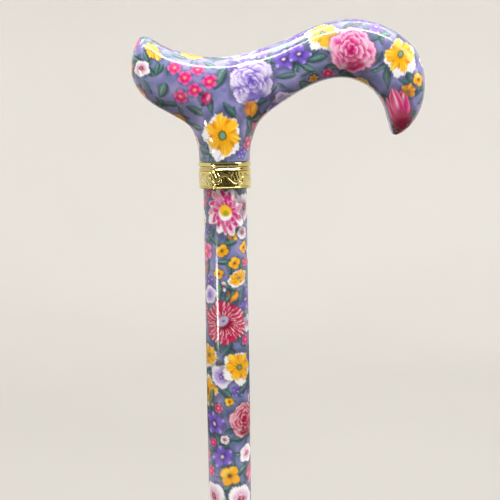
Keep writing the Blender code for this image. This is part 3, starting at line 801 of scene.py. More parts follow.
def limitPoint(vert, crease):
    # where the smoothed surface passes a cage point
    hard = [e.other_vert(vert).co for e in vert.link_edges if e[crease] == 1]
    if len(hard) == 2:
        return (4 * vert.co + hard[0] + hard[1]) / 6
    count = len(vert.link_edges)
    beside = sum((e.other_vert(vert).co for e in vert.link_edges), Vector())
    across = Vector()
    for face in vert.link_faces:
        loop = next(loop for loop in face.loops if loop.vert == vert)
        across += loop.link_loop_next.link_loop_next.vert.co
    return (count * count * vert.co + 4 * beside + across) / (count * (count + 5))


def closeRing(bm, ring, centre):
    middle = bm.verts.new(centre)
    for k in range(0, 8, 2):
        bm.faces.new((middle, ring[k], ring[k + 1], ring[(k + 2) % 8]))


def handleCage():
    bm = bmesh.new()
    crease = bm.edges.layers.float.new("crease_edge")
    shape = handleShape
    left, middle, right = shape["neck"]
    sections = [cageSection(*section) for section in shape["sections"]]
    for index in shape["neck"]:
        reach = 1.0 if index == middle else 0.72
        for corner, side in ((3, -1), (5, 1)):
            sections[index][corner].x *= 0.82
            sections[index][corner].y = side * reach * shape["sections"][index][2]
            sections[index][corner].z = shape["shoulder"]
    rings = [[bm.verts.new(point) for point in section] for section in sections]
    for at, (one, two) in enumerate(zip(rings, rings[1:])):
        for k in range(8):
            if at in (left, middle) and k in (3, 4):
                continue
            bm.faces.new((one[k], two[k], two[(k + 1) % 8], one[(k + 1) % 8]))
    bm.verts.remove(rings[middle][4])
    a, b, c = rings[left], rings[middle], rings[right]
    above = [a[4], a[3], b[3], c[3], c[4], c[5], b[5], a[5]]
    for height, length, depth in shape["neckRings"]:
        turns = [math.radians(180 + 45 * k) for k in range(8)]
        ring = [bm.verts.new((length * math.cos(t), depth * math.sin(t), height)) for t in turns]
        for k in range(8):
            bm.faces.new((above[k], above[(k + 1) % 8], ring[(k + 1) % 8], ring[k]))
        above = ring
    for k in range(8):
        bm.edges.get((above[k], above[(k + 1) % 8]))[crease] = 1
    closeRing(bm, above, (0, 0, shape["neckRings"][-1][0]))
    closeRing(bm, rings[0], (shape["noseEnd"][0], 0, shape["noseEnd"][1]))
    closeRing(bm, rings[-1], (shape["hookEnd"][0], 0, shape["hookEnd"][1]))
    bmesh.ops.recalc_face_normals(bm, faces=bm.faces)
    wanted = {vert: vert.co.copy() for vert in bm.verts}
    for _ in range(30):
        error = {vert: wanted[vert] - limitPoint(vert, crease) for vert in bm.verts}
        for vert in bm.verts:
            vert.co += error[vert]
    return bm


def smoothedHandle():
    bm = handleCage()
    bmesh.ops.scale(bm, vec=(mm, mm, mm), verts=bm.verts)
    bmesh.ops.translate(bm, vec=(shaftX, shaftY, collarTop), verts=bm.verts)
    cage = bpy.data.meshes.new("handleCage")
    bm.to_mesh(cage)
    bm.free()
    helper = bpy.data.objects.new("handleCage", cage)
    smooth = helper.modifiers.new("smooth", "SUBSURF")
    smooth.levels = handleShape["smoothing"]
    smooth.render_levels = smooth.levels
    return applied(helper)


# flowers on the front of the handle: kind, tone, (x, z) in millimetres, radius, turn, squash
handleFlowers = [
    ("leaf", None, (-32.6, 46.8), 3.4, 80, 1), ("leaf", None, (-37.8, 38.4), 4.6, 100, 0.8),
    ("leaf", None, (-30.0, 36.1), 4.2, 60, 1.9), ("leaf", None, (-14.4, 26.2), 5.4, -50, 1),
    ("leaf", None, (-6.8, 28.6), 5.2, 96, 0.9), ("leaf", None, (3.2, 26.2), 5.2, -45, 1.1),
    ("leaf", None, (-1.0, 41.9), 6.6, 62, 1.2), ("leaf", None, (-10.0, 6.0), 4.4, -60, 1.2),
    ("leaf", None, (-14.2, 18.2), 4.6, -70, 1), ("leaf", None, (-27.0, 29.4), 4.4, -30, 1),
    ("leaf", None, (-3.0, 51.4), 5.0, 5, 0.8), ("leaf", None, (26.0, 56.0), 4.4, 25, 0.9),
    ("leaf", None, (31.5, 42.5), 5.2, 10, 0.9), ("leaf", None, (22.6, 35.0), 5.0, 40, 0.9),
    ("leaf", None, (46.9, 51.0), 5.6, 15, 1.1), ("leaf", None, (42.0, 46.6), 4.6, -20, 1),
    ("leaf", None, (40.5, 60.0), 4.6, 30, 1), ("leaf", None, (18.0, 30.0), 4.6, 30, 1),
    ("leaf", None, (80.3, 62.4), 4.6, 20, 1), ("leaf", None, (76.9, 50.4), 4.6, 60, 1),
    ("leaf", None, (90.3, 39.0), 3.8, -20, 1), ("leaf", None, (82.0, 40.4), 5.0, 80, 1),
    ("leaf", None, (-22.0, 52.9), 4.2, -15, 0.8), ("leaf", None, (-29.0, 58.0), 4.2, -15, 0.9),
    ("leaf", None, (16.5, 20.9), 4.2, 60, 1), ("leaf", None, (61.0, 42.0), 4.6, 5, 1),
    ("bloom", "gold", (-34.4, 56.0), 6.4, -40, 0.6), ("white", "white", (-40.4, 47.3), 4.8, 0, 0.9),
    ("bloom", "gold", (-15.6, 53.4), 6.8, 0, 0.6),
    ("small", "red", (-23.8, 47.6), 3.7, 0, 1), ("small", "red", (-18.6, 42.7), 3.8, 0, 1),
    ("small", "red", (-12.2, 46.4), 3.6, 0, 0.9), ("small", "red", (-6.3, 40.6), 3.9, 0, 1),
    ("small", "red", (-14.4, 36.0), 3.7, 0, 1), ("small", "red", (-21.1, 33.2), 3.7, 0, 1),
    ("bud", "magenta", (-9.0, 31.8), 3.7, 60, 1),
    ("violet", "violet", (5.2, 48.2), 3.6, 0, 1), ("rose", "lavender", (11.6, 53.6), 7.6, 0, 1),
    ("rose", "lavender", (13.6, 40.6), 12.0, 20, 1), ("violet", "violet", (20.0, 54.6), 4.6, 0, 1),
    ("bud", "orange", (13.6, 26.2), 4.8, 100, 1.1),
    ("small", "magenta", (12.2, 9.4), 4.0, 0, 1), ("violet", "violet", (8.7, 4.8), 3.2, 0, 1),
    ("anemone", "gold", (-0.3, 13.9), 10.9, 0, 1.18),
    ("violet", "violet", (30.4, 50.6), 6.0, 0, 0.9), ("violet", "violet", (36.7, 61.4), 4.4, 0, 1),
    ("violet", "violet", (38.0, 53.4), 6.2, 20, 0.9),
    ("anemone", "gold", (49.6, 63.6), 9.4, 0, 1), ("small", "red", (52.5, 43.4), 3.4, 0, 1),
    ("bloom", "orange", (45.0, 41.0), 2.8, 0, 1),
    ("violet", "violet", (68.0, 70.4), 5.4, 0, 1), ("violet", "violet", (76.4, 66.4), 5.0, 0, 1),
    ("rose", "pink", (64.5, 54.6), 12.0, 10, 1),
    ("anemone", "gold", (88.7, 51.8), 11.0, 75, 0.84),
    ("bloom", "orange", (92.2, 34.4), 4.6, 20, 0.9), ("goldSmall", "gold", (97.4, 40.0), 3.4, 0, 1),
    ("small", "pink", (79.6, 30.6), 3.0, 0, 1),
    ("peony", "crimson", (90.6, 17.0), 6.4, 0, 1), ("lily", "magenta", (87.2, 25.6), 11.8, 84, 0.7),
]

handleMesh = smoothedHandle()
handleCanvas = solidCanvas(handleMesh, 11)


def onFront(x, z):
    # the point of the handle's near face at that place
    points = handleCanvas["points"]
    away = (points[:, 0] - x) ** 2 + (points[:, 2] - z) ** 2 + (points[:, 1] > 0) * 400
    return int(np.argmin(away + np.clip(points[:, 1] + 14, 0, 30) * 0.02))


paintPrint(
    handleCanvas,
    [(kind, tone, onFront(*at), size, turn, squash)
     for kind, tone, at, size, turn, squash in handleFlowers],
    {"big": 60, "middle": 220, "little": 500, "leaves": 260})
storeColours(handleMesh, handleCanvas["colour"])
handleMesh.shade_smooth()
settle("printedHandle", handleMesh, handleLacquer, "upper_shaft", ["handle"], sharp=0)
print("handle painted:", len(handleMesh.vertices), "points")


# upper tube

tubeShape = {
    "round": 144,
    "fineRow": 0.45 * mm,  # near the handle
    "coarseRow": 0.98 * mm,
    "fineLength": 170 * mm,
    "wall": 1.2 * mm,
    "holeRadius": 4.0 * mm,
    "holePitch": 25.4 * mm,
    "holesBelow": 4,
    "holesAbove": 2,
}

# flowers on the tube's front: kind, tone, (way round, height under the collar), radius, turn, squash
tubeFlowers = [
    ("leaf", None, (-8.5, -24.5), 5.0, 60, 1), ("leaf", None, (2.0, -27.5), 4.6, 10, 1),
    ("leaf", None, (-6.0, -26.5), 4.4, -30, 1), ("leaf", None, (-11.0, -40.0), 4.6, 80, 1),
    ("leaf", None, (-3.4, -52.0), 5.4, 88, 0.8), ("leaf", None, (8.5, -55.0), 5.4, 75, 1),
    ("leaf", None, (2.0, -50.5), 4.2, -20, 1), ("leaf", None, (0.0, -82.0), 5.2, 60, 1),
    ("leaf", None, (9.0, -103.0), 5.2, 40, 1.1), ("leaf", None, (-2.0, -104.0), 5.4, -40, 1),
    ("leaf", None, (-10.0, -108.0), 5.4, 70, 1), ("leaf", None, (4.5, -129.0), 4.6, 0, 1),
    ("leaf", None, (6.0, -146.5), 4.8, 40, 1), ("leaf", None, (-1.5, -155.0), 4.8, 20, 1),
    ("white", "white", (11.4, -9.5), 7.6, 0, 1), ("white", "white", (3.6, -5.0), 5.0, 0, 1),
    ("white", "white", (9.9, -22.6), 3.8, 0, 1), ("daisy", "rosy", (0.2, -11.8), 11.2, 0, 1.2),
    ("small", "pink", (-12.4, -32.0), 5.2, 0, 1),
    ("goldSmall", "gold", (-1.9, -31.4), 3.5, 0, 1), ("goldSmall", "gold", (4.6, -37.8), 3.4, 0, 1),
    ("goldSmall", "gold", (-4.1, -43.0), 2.9, 0, 1), ("goldSmall", "gold", (10.6, -30.2), 3.2, 0, 1),
    ("violet", "violet", (-10.4, -47.6), 3.6, 0, 1),
    ("anemone", "gold", (6.6, -45.4), 6.8, 24, 0.66), ("white", "lavender", (-9.8, -54.4), 5.2, 0, 1),
    ("peony", "crimson", (-0.8, -68.4), 11.8, 30, 1),
    ("anemone", "gold", (-11.4, -86.0), 7.0, 0, 1), ("white", "lavender", (-3.4, -96.0), 6.6, 0, 1),
    ("anemone", "gold", (6.6, -91.4), 9.6, 0, 1),
    ("rose", "crimson", (9.6, -119.6), 9.6, 0, 1), ("violet", "violet", (-8.0, -121.0), 6.6, 0, 1),
    ("violet", "violet", (-3.6, -138.6), 6.4, 0, 1), ("white", "white", (10.6, -137.4), 5.2, 0, 1),
    ("goldSmall", "gold", (0.4, -148.4), 5.6, 0, 1),
    ("white", "white", (-9.2, -159.6), 8.0, 0, 1), ("white", "white", (6.4, -161.0), 8.2, 0, 1),
]


def buildUpperTube():
    shape = tubeShape
    top, low = tubeHigh.z, tubeLow.z
    fineEnd = top - shape["fineLength"]
    fine = np.arange(round(shape["fineLength"] / shape["fineRow"])) * shape["fineRow"]
    coarseCount = math.ceil((fineEnd - low) / shape["coarseRow"])
    coarse = np.linspace(fineEnd, low, coarseCount + 1)
    heights = np.concatenate([top - fine, coarse])
    bore = tubeRadius - shape["wall"]
    profile = [(tubeRadius, z) for z in heights] + [(bore, low), (bore, top)]
    points, faces = revolve(profile, shape["round"], (shaftX, shaftY))
    return closeUp(meshOf("printedTube", points, faces), merge=0, slivers=False)


def holeHeights():
    # the snap pin stands in one of the holes
    steps = range(-tubeShape["holesBelow"], tubeShape["holesAbove"] + 1)
    return [pinHeight + step * tubeShape["holePitch"] for step in steps]


def drill(mesh, heights, wallRadius, holeRadius):
    # one round hole through the near wall at each height
    drills = bmesh.new()
    for height in heights:
        made = bmesh.ops.create_cone(drills, cap_ends=True, segments=48, depth=6 * mm,
                                     radius1=holeRadius, radius2=holeRadius)
        turn = Vector((0, 0, 1)).rotation_difference(Vector((0, 1, 0))).to_matrix()
        bmesh.ops.rotate(drills, verts=made["verts"], cent=(0, 0, 0), matrix=turn)
        place = (shaftX, shaftY - wallRadius, height)
        bmesh.ops.translate(drills, verts=made["verts"], vec=place)
    bits = bpy.data.meshes.new("drills")
    drills.to_mesh(bits)
    drills.free()
    bitObject = bpy.data.objects.new("drills", bits)
    tube = bpy.data.objects.new("tube", mesh)
    cutting = tube.modifiers.new("holes", "BOOLEAN")
    cutting.object = bitObject
    cutting.operation = "DIFFERENCE"
    return applied(tube, bitObject)


tubeMesh = drill(buildUpperTube(), holeHeights(), tubeRadius, tubeShape["holeRadius"])
tubePaint = tubeCanvas(tubeMesh, 23)
underCollar = (collarLow.z - collarTop) / mm
paintPrint(
    tubePaint,
    [(kind, tone, (at[0], at[1] + underCollar), size, turn, squash)
     for kind, tone, at, size, turn, squash in tubeFlowers],
    {"big": 260, "middle": 900, "little": 2200, "leaves": 620})
storeColours(tubeMesh, tubePaint["colour"])
settle("printedTube", tubeMesh, tubeLacquer, "upper_shaft", ["upper_tube"])
print("upper tube painted:", len(tubeMesh.vertices), "points")


# collar

collarShape = {
    "round": 360,
    "bandDepth": 0.22 * mm,  # how far the engraving is cut
    "scrolls": 7,
}


def buildCollar():
    top, low = collarHigh.z, collarLow.z
    outer = (collarHigh.x - collarLow.x) / 2
    bore = tubeRadius + 0.35 * mm
    shape = [
        (bore + 0.3 * mm, top), (outer - 0.45 * mm, top), (outer - 0.12 * mm, top - 0.12 * mm),
        (outer, top - 0.45 * mm), (outer, top - 1.95 * mm), (outer - 0.15 * mm, top - 2.3 * mm),
        (outer - 0.7 * mm, top - 2.5 * mm), (outer - 0.75 * mm, top - 2.8 * mm),
    ]
    # the bead between the bands slopes upwards
    shape += [
        (outer - 0.66 * mm, top - 2.92 * mm), (outer - 0.16 * mm, top - 3.68 * mm),
        (outer - 0.07 * mm, top - 3.9 * mm), (outer - 0.16 * mm, top - 4.15 * mm),
        (outer - 0.6 * mm, top - 4.3 * mm),
    ]
    shape += [(outer - 0.75 * mm, top - 4.35 * mm), (outer - 0.5 * mm, top - 4.55 * mm)]
    bandTop, bandLow = top - 4.7 * mm, low + 1.45 * mm
    shape += stack(outer - 0.25 * mm, bandTop, bandLow, 26)
    shape += [
        (outer - 0.5 * mm, low + 1.3 * mm), (outer - 0.75 * mm, low + 1.15 * mm),
        (outer - 0.7 * mm, low + 0.95 * mm), (outer - 0.1 * mm, low + 0.8 * mm),
        (outer, low + 0.6 * mm), (outer, low + 0.3 * mm), (outer - 0.2 * mm, low),
        (bore, low), (bore, top - 0.3 * mm),
    ]

    def engrave(radius, turn, z):
        # leaf scrolls cut in the wide band: a wave with curls in its bays
        height = (z - bandLow) / (bandTop - bandLow)
        inBand = (height >= 0) & (height <= 1) & (radius > outer - 0.3 * mm)
        phase = turn * collarShape["scrolls"]
        wave = height - 0.5 - 0.27 * np.sin(phase)
        stem = 1 - softStep(np.abs(wave), 0.03, 0.1)
        bayU = ((phase / math.pi - 0.5) % 1 - 0.5) * 1.25
        flip = np.where((phase / math.pi - 0.5) % 2 < 1, 1, -1)
        bayV = (height - 0.5) * flip * 1.35 - 0.16
        r, t = np.hypot(bayU, bayV), np.arctan2(bayV, bayU)
        curl = softStep(np.cos(t - r * 26), 0.0, 0.7) * (1 - softStep(r, 0.24, 0.34))
        leaves = softStep(np.cos(phase * 6 + height * 9), 0.35, 0.8) * softStep(np.abs(wave), 0.12, 0.2)
        cut = np.maximum(stem, np.maximum(curl, leaves * 0.6 * (r > 0.32)))
        cut *= softStep(height, 0.03, 0.1) * (1 - softStep(height, 0.9, 0.97)) * inBand
        return radius - cut * collarShape["bandDepth"]

    return turned("engravedCollar", shape, collarShape["round"], change=engrave)


settle("engravedCollar", buildCollar(), goldPlate, "upper_shaft", ["collar"], sharp=50)
print("collar engraved")


# adjuster, lock nuts and lower tube

screwShape = {
    "pitch": 2.5 * mm,
    "root": 12.4 * mm,
    "depth": 0.6 * mm,
    "rowsPerPitch": 12,
}
sleeveShape = {
    "stopRadius": 15.2 * mm,
    "overTube": 11.45 * mm,
    "runningBore": 9.95 * mm,
    "lip": 2.65 * mm,  # how far the sleeve closes under the upper tube
}
nutShape = {
    "radius": 17.0 * mm,
    "bore": 13.4 * mm,
    "throat": 10.15 * mm,
    "flange": 2.2 * mm,
    "grooves": 16,
    "grooveDepth": 0.85 * mm,
    "round": 256,
}
buttonShape = {
    "radius": 3.6 * mm,
    "headRadius": 4.2 * mm,
    "reach": (5.8 * mm, 6.7 * mm, 10.9 * mm, 12.8 * mm),  # head, shoulder, dome and tip from the axis
}


def threadRows(top, low):
    count = round((top - low) / screwShape["pitch"] * screwShape["rowsPerPitch"])
    return stack(screwShape["root"], top, low, count)


def threadRidge(top, low):
    # a real helix, faded out at both ends
    def change(radius, turn, z):
        phase = (z / screwShape["pitch"] + turn / (2 * math.pi)) % 1
        ridge = softStep(0.5 - np.abs(phase - 0.5), 0.16, 0.3)
        ends = softStep(top - z, 0, 0.8 * mm) * softStep(z - low, 0, 0.8 * mm)
        onRoot = np.abs(radius - screwShape["root"]) < 0.02 * mm
        return radius + screwShape["depth"] * ridge * ends * onRoot
    return change


def buildSleeve():
    low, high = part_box("thread_sleeve")
    shape = sleeveShape
    threadTop, threadLow = low.z + 14 * mm, low.z + 0.8 * mm
    stop, root = shape["stopRadius"], screwShape["root"]
    above = [
        (shape["overTube"], high.z), (root + 0.5 * mm, high.z), (stop, high.z - 2.0 * mm),
        (stop, high.z - 11.0 * mm), (root, high.z - 12.0 * mm),
    ]
    below = [
        (root - 0.5 * mm, low.z), (shape["runningBore"], low.z), (shape["runningBore"], low.z + shape["lip"]),
        (shape["overTube"], low.z + shape["lip"]),
    ]
    rounded = roundCorners(above + [(root, threadLow)] + below, 0.5 * mm)
    at = next(i for i, point in enumerate(rounded) if point[1] < threadTop and point[0] > shape["overTube"])
    profile = rounded[:at] + threadRows(threadTop, threadLow) + rounded[at + 5:]

    def grip(radius, turn, z):
        # fine upright ribs round the stop
        made = threadRidge(threadTop, threadLow)(radius, turn, z)
        onStop = (radius > stop - 0.02 * mm)
        return made - 0.25 * mm * onStop * softStep(np.cos(turn * 48), 0.2, 0.8)

    return turned("threadSleeve", profile, 288, change=grip)


def buildNut(name, node, way):
    # way is 1 where the nut opens upwards
    low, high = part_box(node)
    shape = nutShape
    lip, mouth = (low.z, high.z) if way > 0 else (high.z, low.z)
    seat = lip + way * shape["flange"]
    radius = shape["radius"]
    outline = [
        (shape["throat"], seat), (shape["bore"], seat), (shape["bore"], mouth), (radius - 1 * mm, mouth),
        (radius, mouth - way * 1.2 * mm), (radius, lip + way * 4.8 * mm), (radius - 2.6 * mm, lip),
        (shape["throat"], lip),
    ]
    profile = roundCorners(outline, 0.6 * mm)
    onWall = [r > radius - 0.001 * mm and abs(z - mouth) > 10 * mm for r, z in profile]
    wallEnd = onWall.index(True)
    wall = stack(radius, mouth - way * 2.0 * mm, lip + way * 6.0 * mm, 20)
    profile = profile[:wallEnd] + wall + profile[wallEnd:]

    def groove(r, turn, z):
        cut = softStep(np.cos(turn * shape["grooves"]), 0.25, 0.9)
        rise = softStep(np.abs(z - lip), 3.4 * mm, 6.2 * mm)
        return r - shape["grooveDepth"] * cut * rise * (r > shape["bore"] + 1.5 * mm)

    return turned(name, profile, shape["round"], change=groove)


def buildLowerTube():
    low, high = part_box("lower_tube")
    radius = (high.x - low.x) / 2
    bore = radius - tubeShape["wall"]
    wall = [(radius, high.z), (radius, low.z), (bore, low.z), (bore, high.z)]
    mesh = turned("lowerTube", roundCorners(wall, 0.25 * mm, 3), 128)
    return drill(mesh, [pinHeight], radius, tubeShape["holeRadius"])


def buildButton():
    head, shoulder, dome, tip = buttonShape["reach"]
    radius = buttonShape["radius"]
    profile = [(0, head), (buttonShape["headRadius"], head), (buttonShape["headRadius"], shoulder)]
    profile += [(radius, shoulder), (radius, dome)]
    for k in range(1, 9):
        a = math.pi / 2 * k / 8
        profile.append((radius * math.cos(a), dome + (tip - dome) * math.sin(a)))
    points, faces = revolve([(r, -z) for r, z in profile], 48)
    # the turned pin lies along Y, its dome to the front
    laid = np.stack([points[:, 0] + shaftX, points[:, 2] + shaftY, points[:, 1] + pinHeight], 1)
    return closeUp(meshOf("heightButton", laid, faces))


settle("threadSleeve", buildSleeve(), blackNylon, "upper_shaft", ["thread_sleeve"])
for name, node, body, way in (("shaftLockNut", "lock_nut", "shaft_nut", 1),
                              ("baseLockNut", "base_lock_nut", "base_nut", -1)):
    settle(name, buildNut(name, node, way), blackNylon, body, [node])
settle("lowerTube", buildLowerTube(), anodisedTube, "lower_shaft", ["lower_tube"])
settle("heightButton", buildButton(), brightSteel, "button", ["height_button"])
print("adjuster and nuts made")


# base

baseShape = {
    "footX": 87.5 * mm,
    "footY": 58.0 * mm,
    "shoulderX": 36.0 * mm,
    "legTop": 80.0 * mm,
    "knee": 48.0 * mm,
    "legEnd": 9.7 * mm,
    "bend": 24.0 * mm,
    "legRadius": 7.9 * mm,
    "legAside": 20.95 * mm,  # from the shaft's axis to a leg's, at the saddle
    "socketRadius": 12.7 * mm,
    "socketBore": 10.0 * mm,
    "plate": (48.0 * mm, 62.0 * mm, 3.5 * mm),
    "plateCorner": 9.0 * mm,
    "weld": 1.3 * mm,
}
ferruleShape = {
    "bore": 8.3 * mm,
    "floor": 7.5 * mm,
    "height": 34.0 * mm,
    "foot": 17.5 * mm,
    "tread": 1.5 * mm,
}


def buildSocket():
    low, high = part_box("base_socket")
    top, bottom = high.z, low.z
    shape, root = baseShape, screwShape["root"]
    stop = sleeveShape["stopRadius"]
    threadTop, threadLow = top - 0.8 * mm, top - 14 * mm
    outline = [
        (shape["socketBore"], top), (root, top), (root, top - 17 * mm), (stop, top - 17.5 * mm),
        (stop, top - 21 * mm), (shape["socketRadius"], top - 22 * mm), (shape["socketRadius"], bottom),
        (shape["socketBore"], bottom),
    ]
    rounded = roundCorners(outline, 0.45 * mm)
    at = next(i for i, p in enumerate(rounded) if p[0] > root - 0.001 * mm and p[1] < top - 0.2 * mm)
    profile = rounded[:at] + threadRows(threadTop, threadLow) + rounded[at:]
    return turned("baseSocket", profile, 144, change=threadRidge(threadTop, threadLow))


def roundedPath(corners, radius, steps=14):
    corners = [Vector(corner) for corner in corners]
    points = [corners[0]]
    for before, corner, after in zip(corners, corners[1:], corners[2:]):
        back, ahead = (before - corner).normalized(), (after - corner).normalized()
        half = back.angle(ahead) / 2
        centre = corner + (back + ahead).normalized() * radius / math.sin(half)
        start = (corner + back * radius / math.tan(half) - centre).normalized()
        end = (corner + ahead * radius / math.tan(half) - centre).normalized()
        points += [centre + start.slerp(end, i / steps) * radius for i in range(steps + 1)]
    return points + [corners[-1]]


def tubeCurve(name, points, radius, resolution=8, radii=None, closed=False):
    curve = bpy.data.curves.new(name, "CURVE")
    curve.dimensions = "3D"
    curve.bevel_depth = radius
    curve.bevel_resolution = resolution
    curve.use_fill_caps = not closed
    spline = curve.splines.new("POLY")
    spline.points.add(len(points) - 1)
    for index, point in enumerate(points):
        spline.points[index].co = (*point, 1)
        spline.points[index].radius = radii[index] if radii else 1
    spline.use_cyclic_u = closed
    spline.use_smooth = True
    return curve


def meshFrom(curve):
    # a curve as a closed mesh
    return closeUp(applied(bpy.data.objects.new("helper", curve)), merge=0.000005, slivers=False)


def buildLeg(name, side):
    # side is -1 for the leg on the user's side
    shape = baseShape
    half = [
        (-shape["footX"], side * shape["footY"], shape["legEnd"]),
        (-shape["footX"], side * shape["footY"], shape["knee"]),
        (-shape["shoulderX"], shaftY + side * shape["legAside"], shape["legTop"]),
    ]
    other = [(-x, y, z) for x, y, z in reversed(half)]
    return meshFrom(tubeCurve(name, roundedPath(half + other, shape["bend"]), shape["legRadius"], 10))


def buildPlate(name, node):
    low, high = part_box(node)
    length, width, thick = baseShape["plate"]
    corner, edge = baseShape["plateCorner"], 0.7 * mm
    x, y = length / 2 - corner, width / 2 - corner
    curve = bpy.data.curves.new(name, "CURVE")
    curve.dimensions = "2D"
    curve.fill_mode = "BOTH"
    curve.extrude = thick / 2 - edge
    curve.bevel_depth = edge
    curve.bevel_resolution = 3
    curve.offset = -edge
    outline = []
    for quarter, (cx, cy) in enumerate(((x, y), (-x, y), (-x, -y), (x, -y))):
        for step in range(13):
            turn = math.radians(90 * quarter + 7.5 * step)
            outline.append((cx + corner * math.cos(turn), cy + corner * math.sin(turn)))
    hole = baseShape["socketRadius"] + 0.4 * mm
    ring = [(hole * math.cos(t), hole * math.sin(t)) for t in np.linspace(0, 2 * math.pi, 73)[:-1]]
    for loop in (outline, ring):
        spline = curve.splines.new("POLY")
        spline.points.add(len(loop) - 1)
        for point, (px, py) in zip(spline.points, loop):
            point.co = (px, py, 0, 1)
        spline.use_cyclic_u = True
    mesh = meshFrom(curve)
    for vert in mesh.vertices:
        vert.co += Vector((shaftX, shaftY, (low.z + high.z) / 2))
    return mesh


def weldBead(name, points, closed):
    # a bead that swells a little with each puddle of metal
    size = [1 + 0.16 * math.sin(k * 2 * math.pi / 4) for k in range(len(points))]
    mesh = meshFrom(tubeCurve(name, points, baseShape["weld"], 4, size, closed))
    return settle(name, mesh, powderCoat, "base", sharp=60)


def weldBase():
    upper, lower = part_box("saddle_plate"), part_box("saddle_plate_lower")
    radius = baseShape["socketRadius"] + 0.6 * mm
    turns = np.linspace(0, 2 * math.pi, 113)[:-1]
    ringHeights = {"weldOverSaddle": upper[1].z + 0.2 * mm, "weldUnderSaddle": lower[0].z - 0.2 * mm}
    for name, height in ringHeights.items():
        ring = [(shaftX + radius * math.cos(t), shaftY + radius * math.sin(t), height) for t in turns]
        weldBead(name, ring, True)
    reach = baseShape["legRadius"] + 0.15 * mm
    for side, sideName in ((-1, "Inner"), (1, "Outer")):
        for end, endName in ((-1, "Left"), (1, "Right")):
            for way, wayName in ((1, "Top"), (-1, "Under")):
                bead = []
                for a in np.linspace(-0.62, 0.62, 24):
                    bead.append((end * baseShape["plate"][0] / 2,
                                 shaftY + side * baseShape["legAside"] + reach * math.sin(a),
                                 baseShape["legTop"] + way * reach * math.cos(a)))
                weldBead("weld" + sideName + endName + wayName, bead, False)


def buildFerrule(name, x, y):
    shape = ferruleShape
    height, foot, tread = shape["height"], shape["foot"], shape["tread"]
    outline = [
        (0, shape["floor"]), (shape["bore"], shape["floor"]), (shape["bore"], height),
        (10.6 * mm, height), (11.4 * mm, height - 1 * mm), (11.4 * mm, height - 5 * mm),
        (10.9 * mm, height - 6 * mm), (11.4 * mm, height - 11 * mm), (12.3 * mm, height / 2),
        (14.2 * mm, 10 * mm), (foot, 6 * mm), (foot, 1 * mm), (foot - 1 * mm, 0),
    ]
    for outer in (15.0, 12.0, 9.0):  # the grip rings under the foot
        outline += [(outer * mm, 0), ((outer - 0.4) * mm, tread), ((outer - 1.4) * mm, tread),
                    ((outer - 1.8) * mm, 0)]
    outline.append((0, 0))
    profile = roundCorners(outline, 0.8 * mm)

    def nicks(r, turn, z):
        # short upright nicks round the rim of the foot
        rim = (r > foot - 1.2 * mm) * (z > 0.4 * mm)
        return r - 0.45 * mm * rim * softStep(np.cos(turn * 24), 0.55, 0.9)

    return turned(name, profile, 144, (x, y), nicks)


settle("baseSocket", buildSocket(), powderCoat, "base", ["base_socket"])
for name, node, side in (("innerLeg", "inner_leg_tube", -1), ("outerLeg", "outer_leg_tube", 1)):
    settle(name, buildLeg(name, side), powderCoat, "base", [node])
for name, node in (("saddlePlate", "saddle_plate"), ("saddlePlateLower", "saddle_plate_lower")):
    settle(name, buildPlate(name, node), powderCoat, "base", [node])
weldBase()
for side, y in (("inner", -baseShape["footY"]), ("outer", baseShape["footY"])):
    for end, x in (("left", -baseShape["footX"]), ("right", baseShape["footX"])):
        pieceName = "ferrule" + side.capitalize() + end.capitalize()
        settle(pieceName, buildFerrule(pieceName, x, y), footRubber, "base",
               ["ferrule_" + side + "_" + end])
print("base made")


# inner pieces keep their shape and get their finish

nodeFinishes = {
    "handle_stud": brightSteel, "tube_plug": paleNylon, "compression_ring": paleNylon,
    "glide_plug": blackNylon, "button_spring": springSteel, "lower_tube_plug": blackNylon,
    "socket_plug": blackNylon, "base_compression_ring": paleNylon,
}
for end in ("inner_left", "inner_right", "outer_left", "outer_right"):
    nodeFinishes["washer_" + end] = brightSteel
for nodeName, finish in nodeFinishes.items():
    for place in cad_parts[nodeName].material_slots:
        place.material = finish
print("inner pieces finished")


# studio

studio = {
    "wallRadius": 5.5,
    "coveRadius": 2.2,
    "wallHeight": 6.0,
    "wallColour": (0.90, 0.88, 0.85),
    # painted shade: the floor is darker under the cane and pales out towards the wall's tone
    "shadedFloorColour": (0.50, 0.485, 0.46),  # under the cane, so that its underside stays in shade
    "floorShadeFade": (0.5, 5.2),
    "wallGlow": 0.12,
    "skyColour": (0.95, 0.93, 0.90),
    "skyStrength": 0.30,
    "darkHalfAngle": 62,  # of the dark cloth behind the camera, in degrees
    "darkRadius": 2.85,
    "underReach": 0.34,  # of the dark card under the handle
    "underDrop": 0.15,
}


def sweep(name, profile, steps, fromAngle=0.0, toAngle=2 * math.pi):
    # an open sheet swept round the object, for the backdrop and the cloth
    turns = np.linspace(fromAngle, toAngle, steps + 1)
    points = [(radius * math.sin(t), -radius * math.cos(t), z) for radius, z in profile for t in turns]
    faces = []
    for i in range(len(profile) - 1):
        for k in range(steps):
            a = i * (steps + 1) + k
            faces.append((a, a + 1, a + steps + 2, a + steps + 1))
    mesh = bpy.data.meshes.new(name)
    mesh.from_pydata(points, [], faces)
    mesh.shade_smooth()
    made = bpy.data.objects.new(name, mesh)
    bpy.context.scene.collection.objects.link(made)
    return made


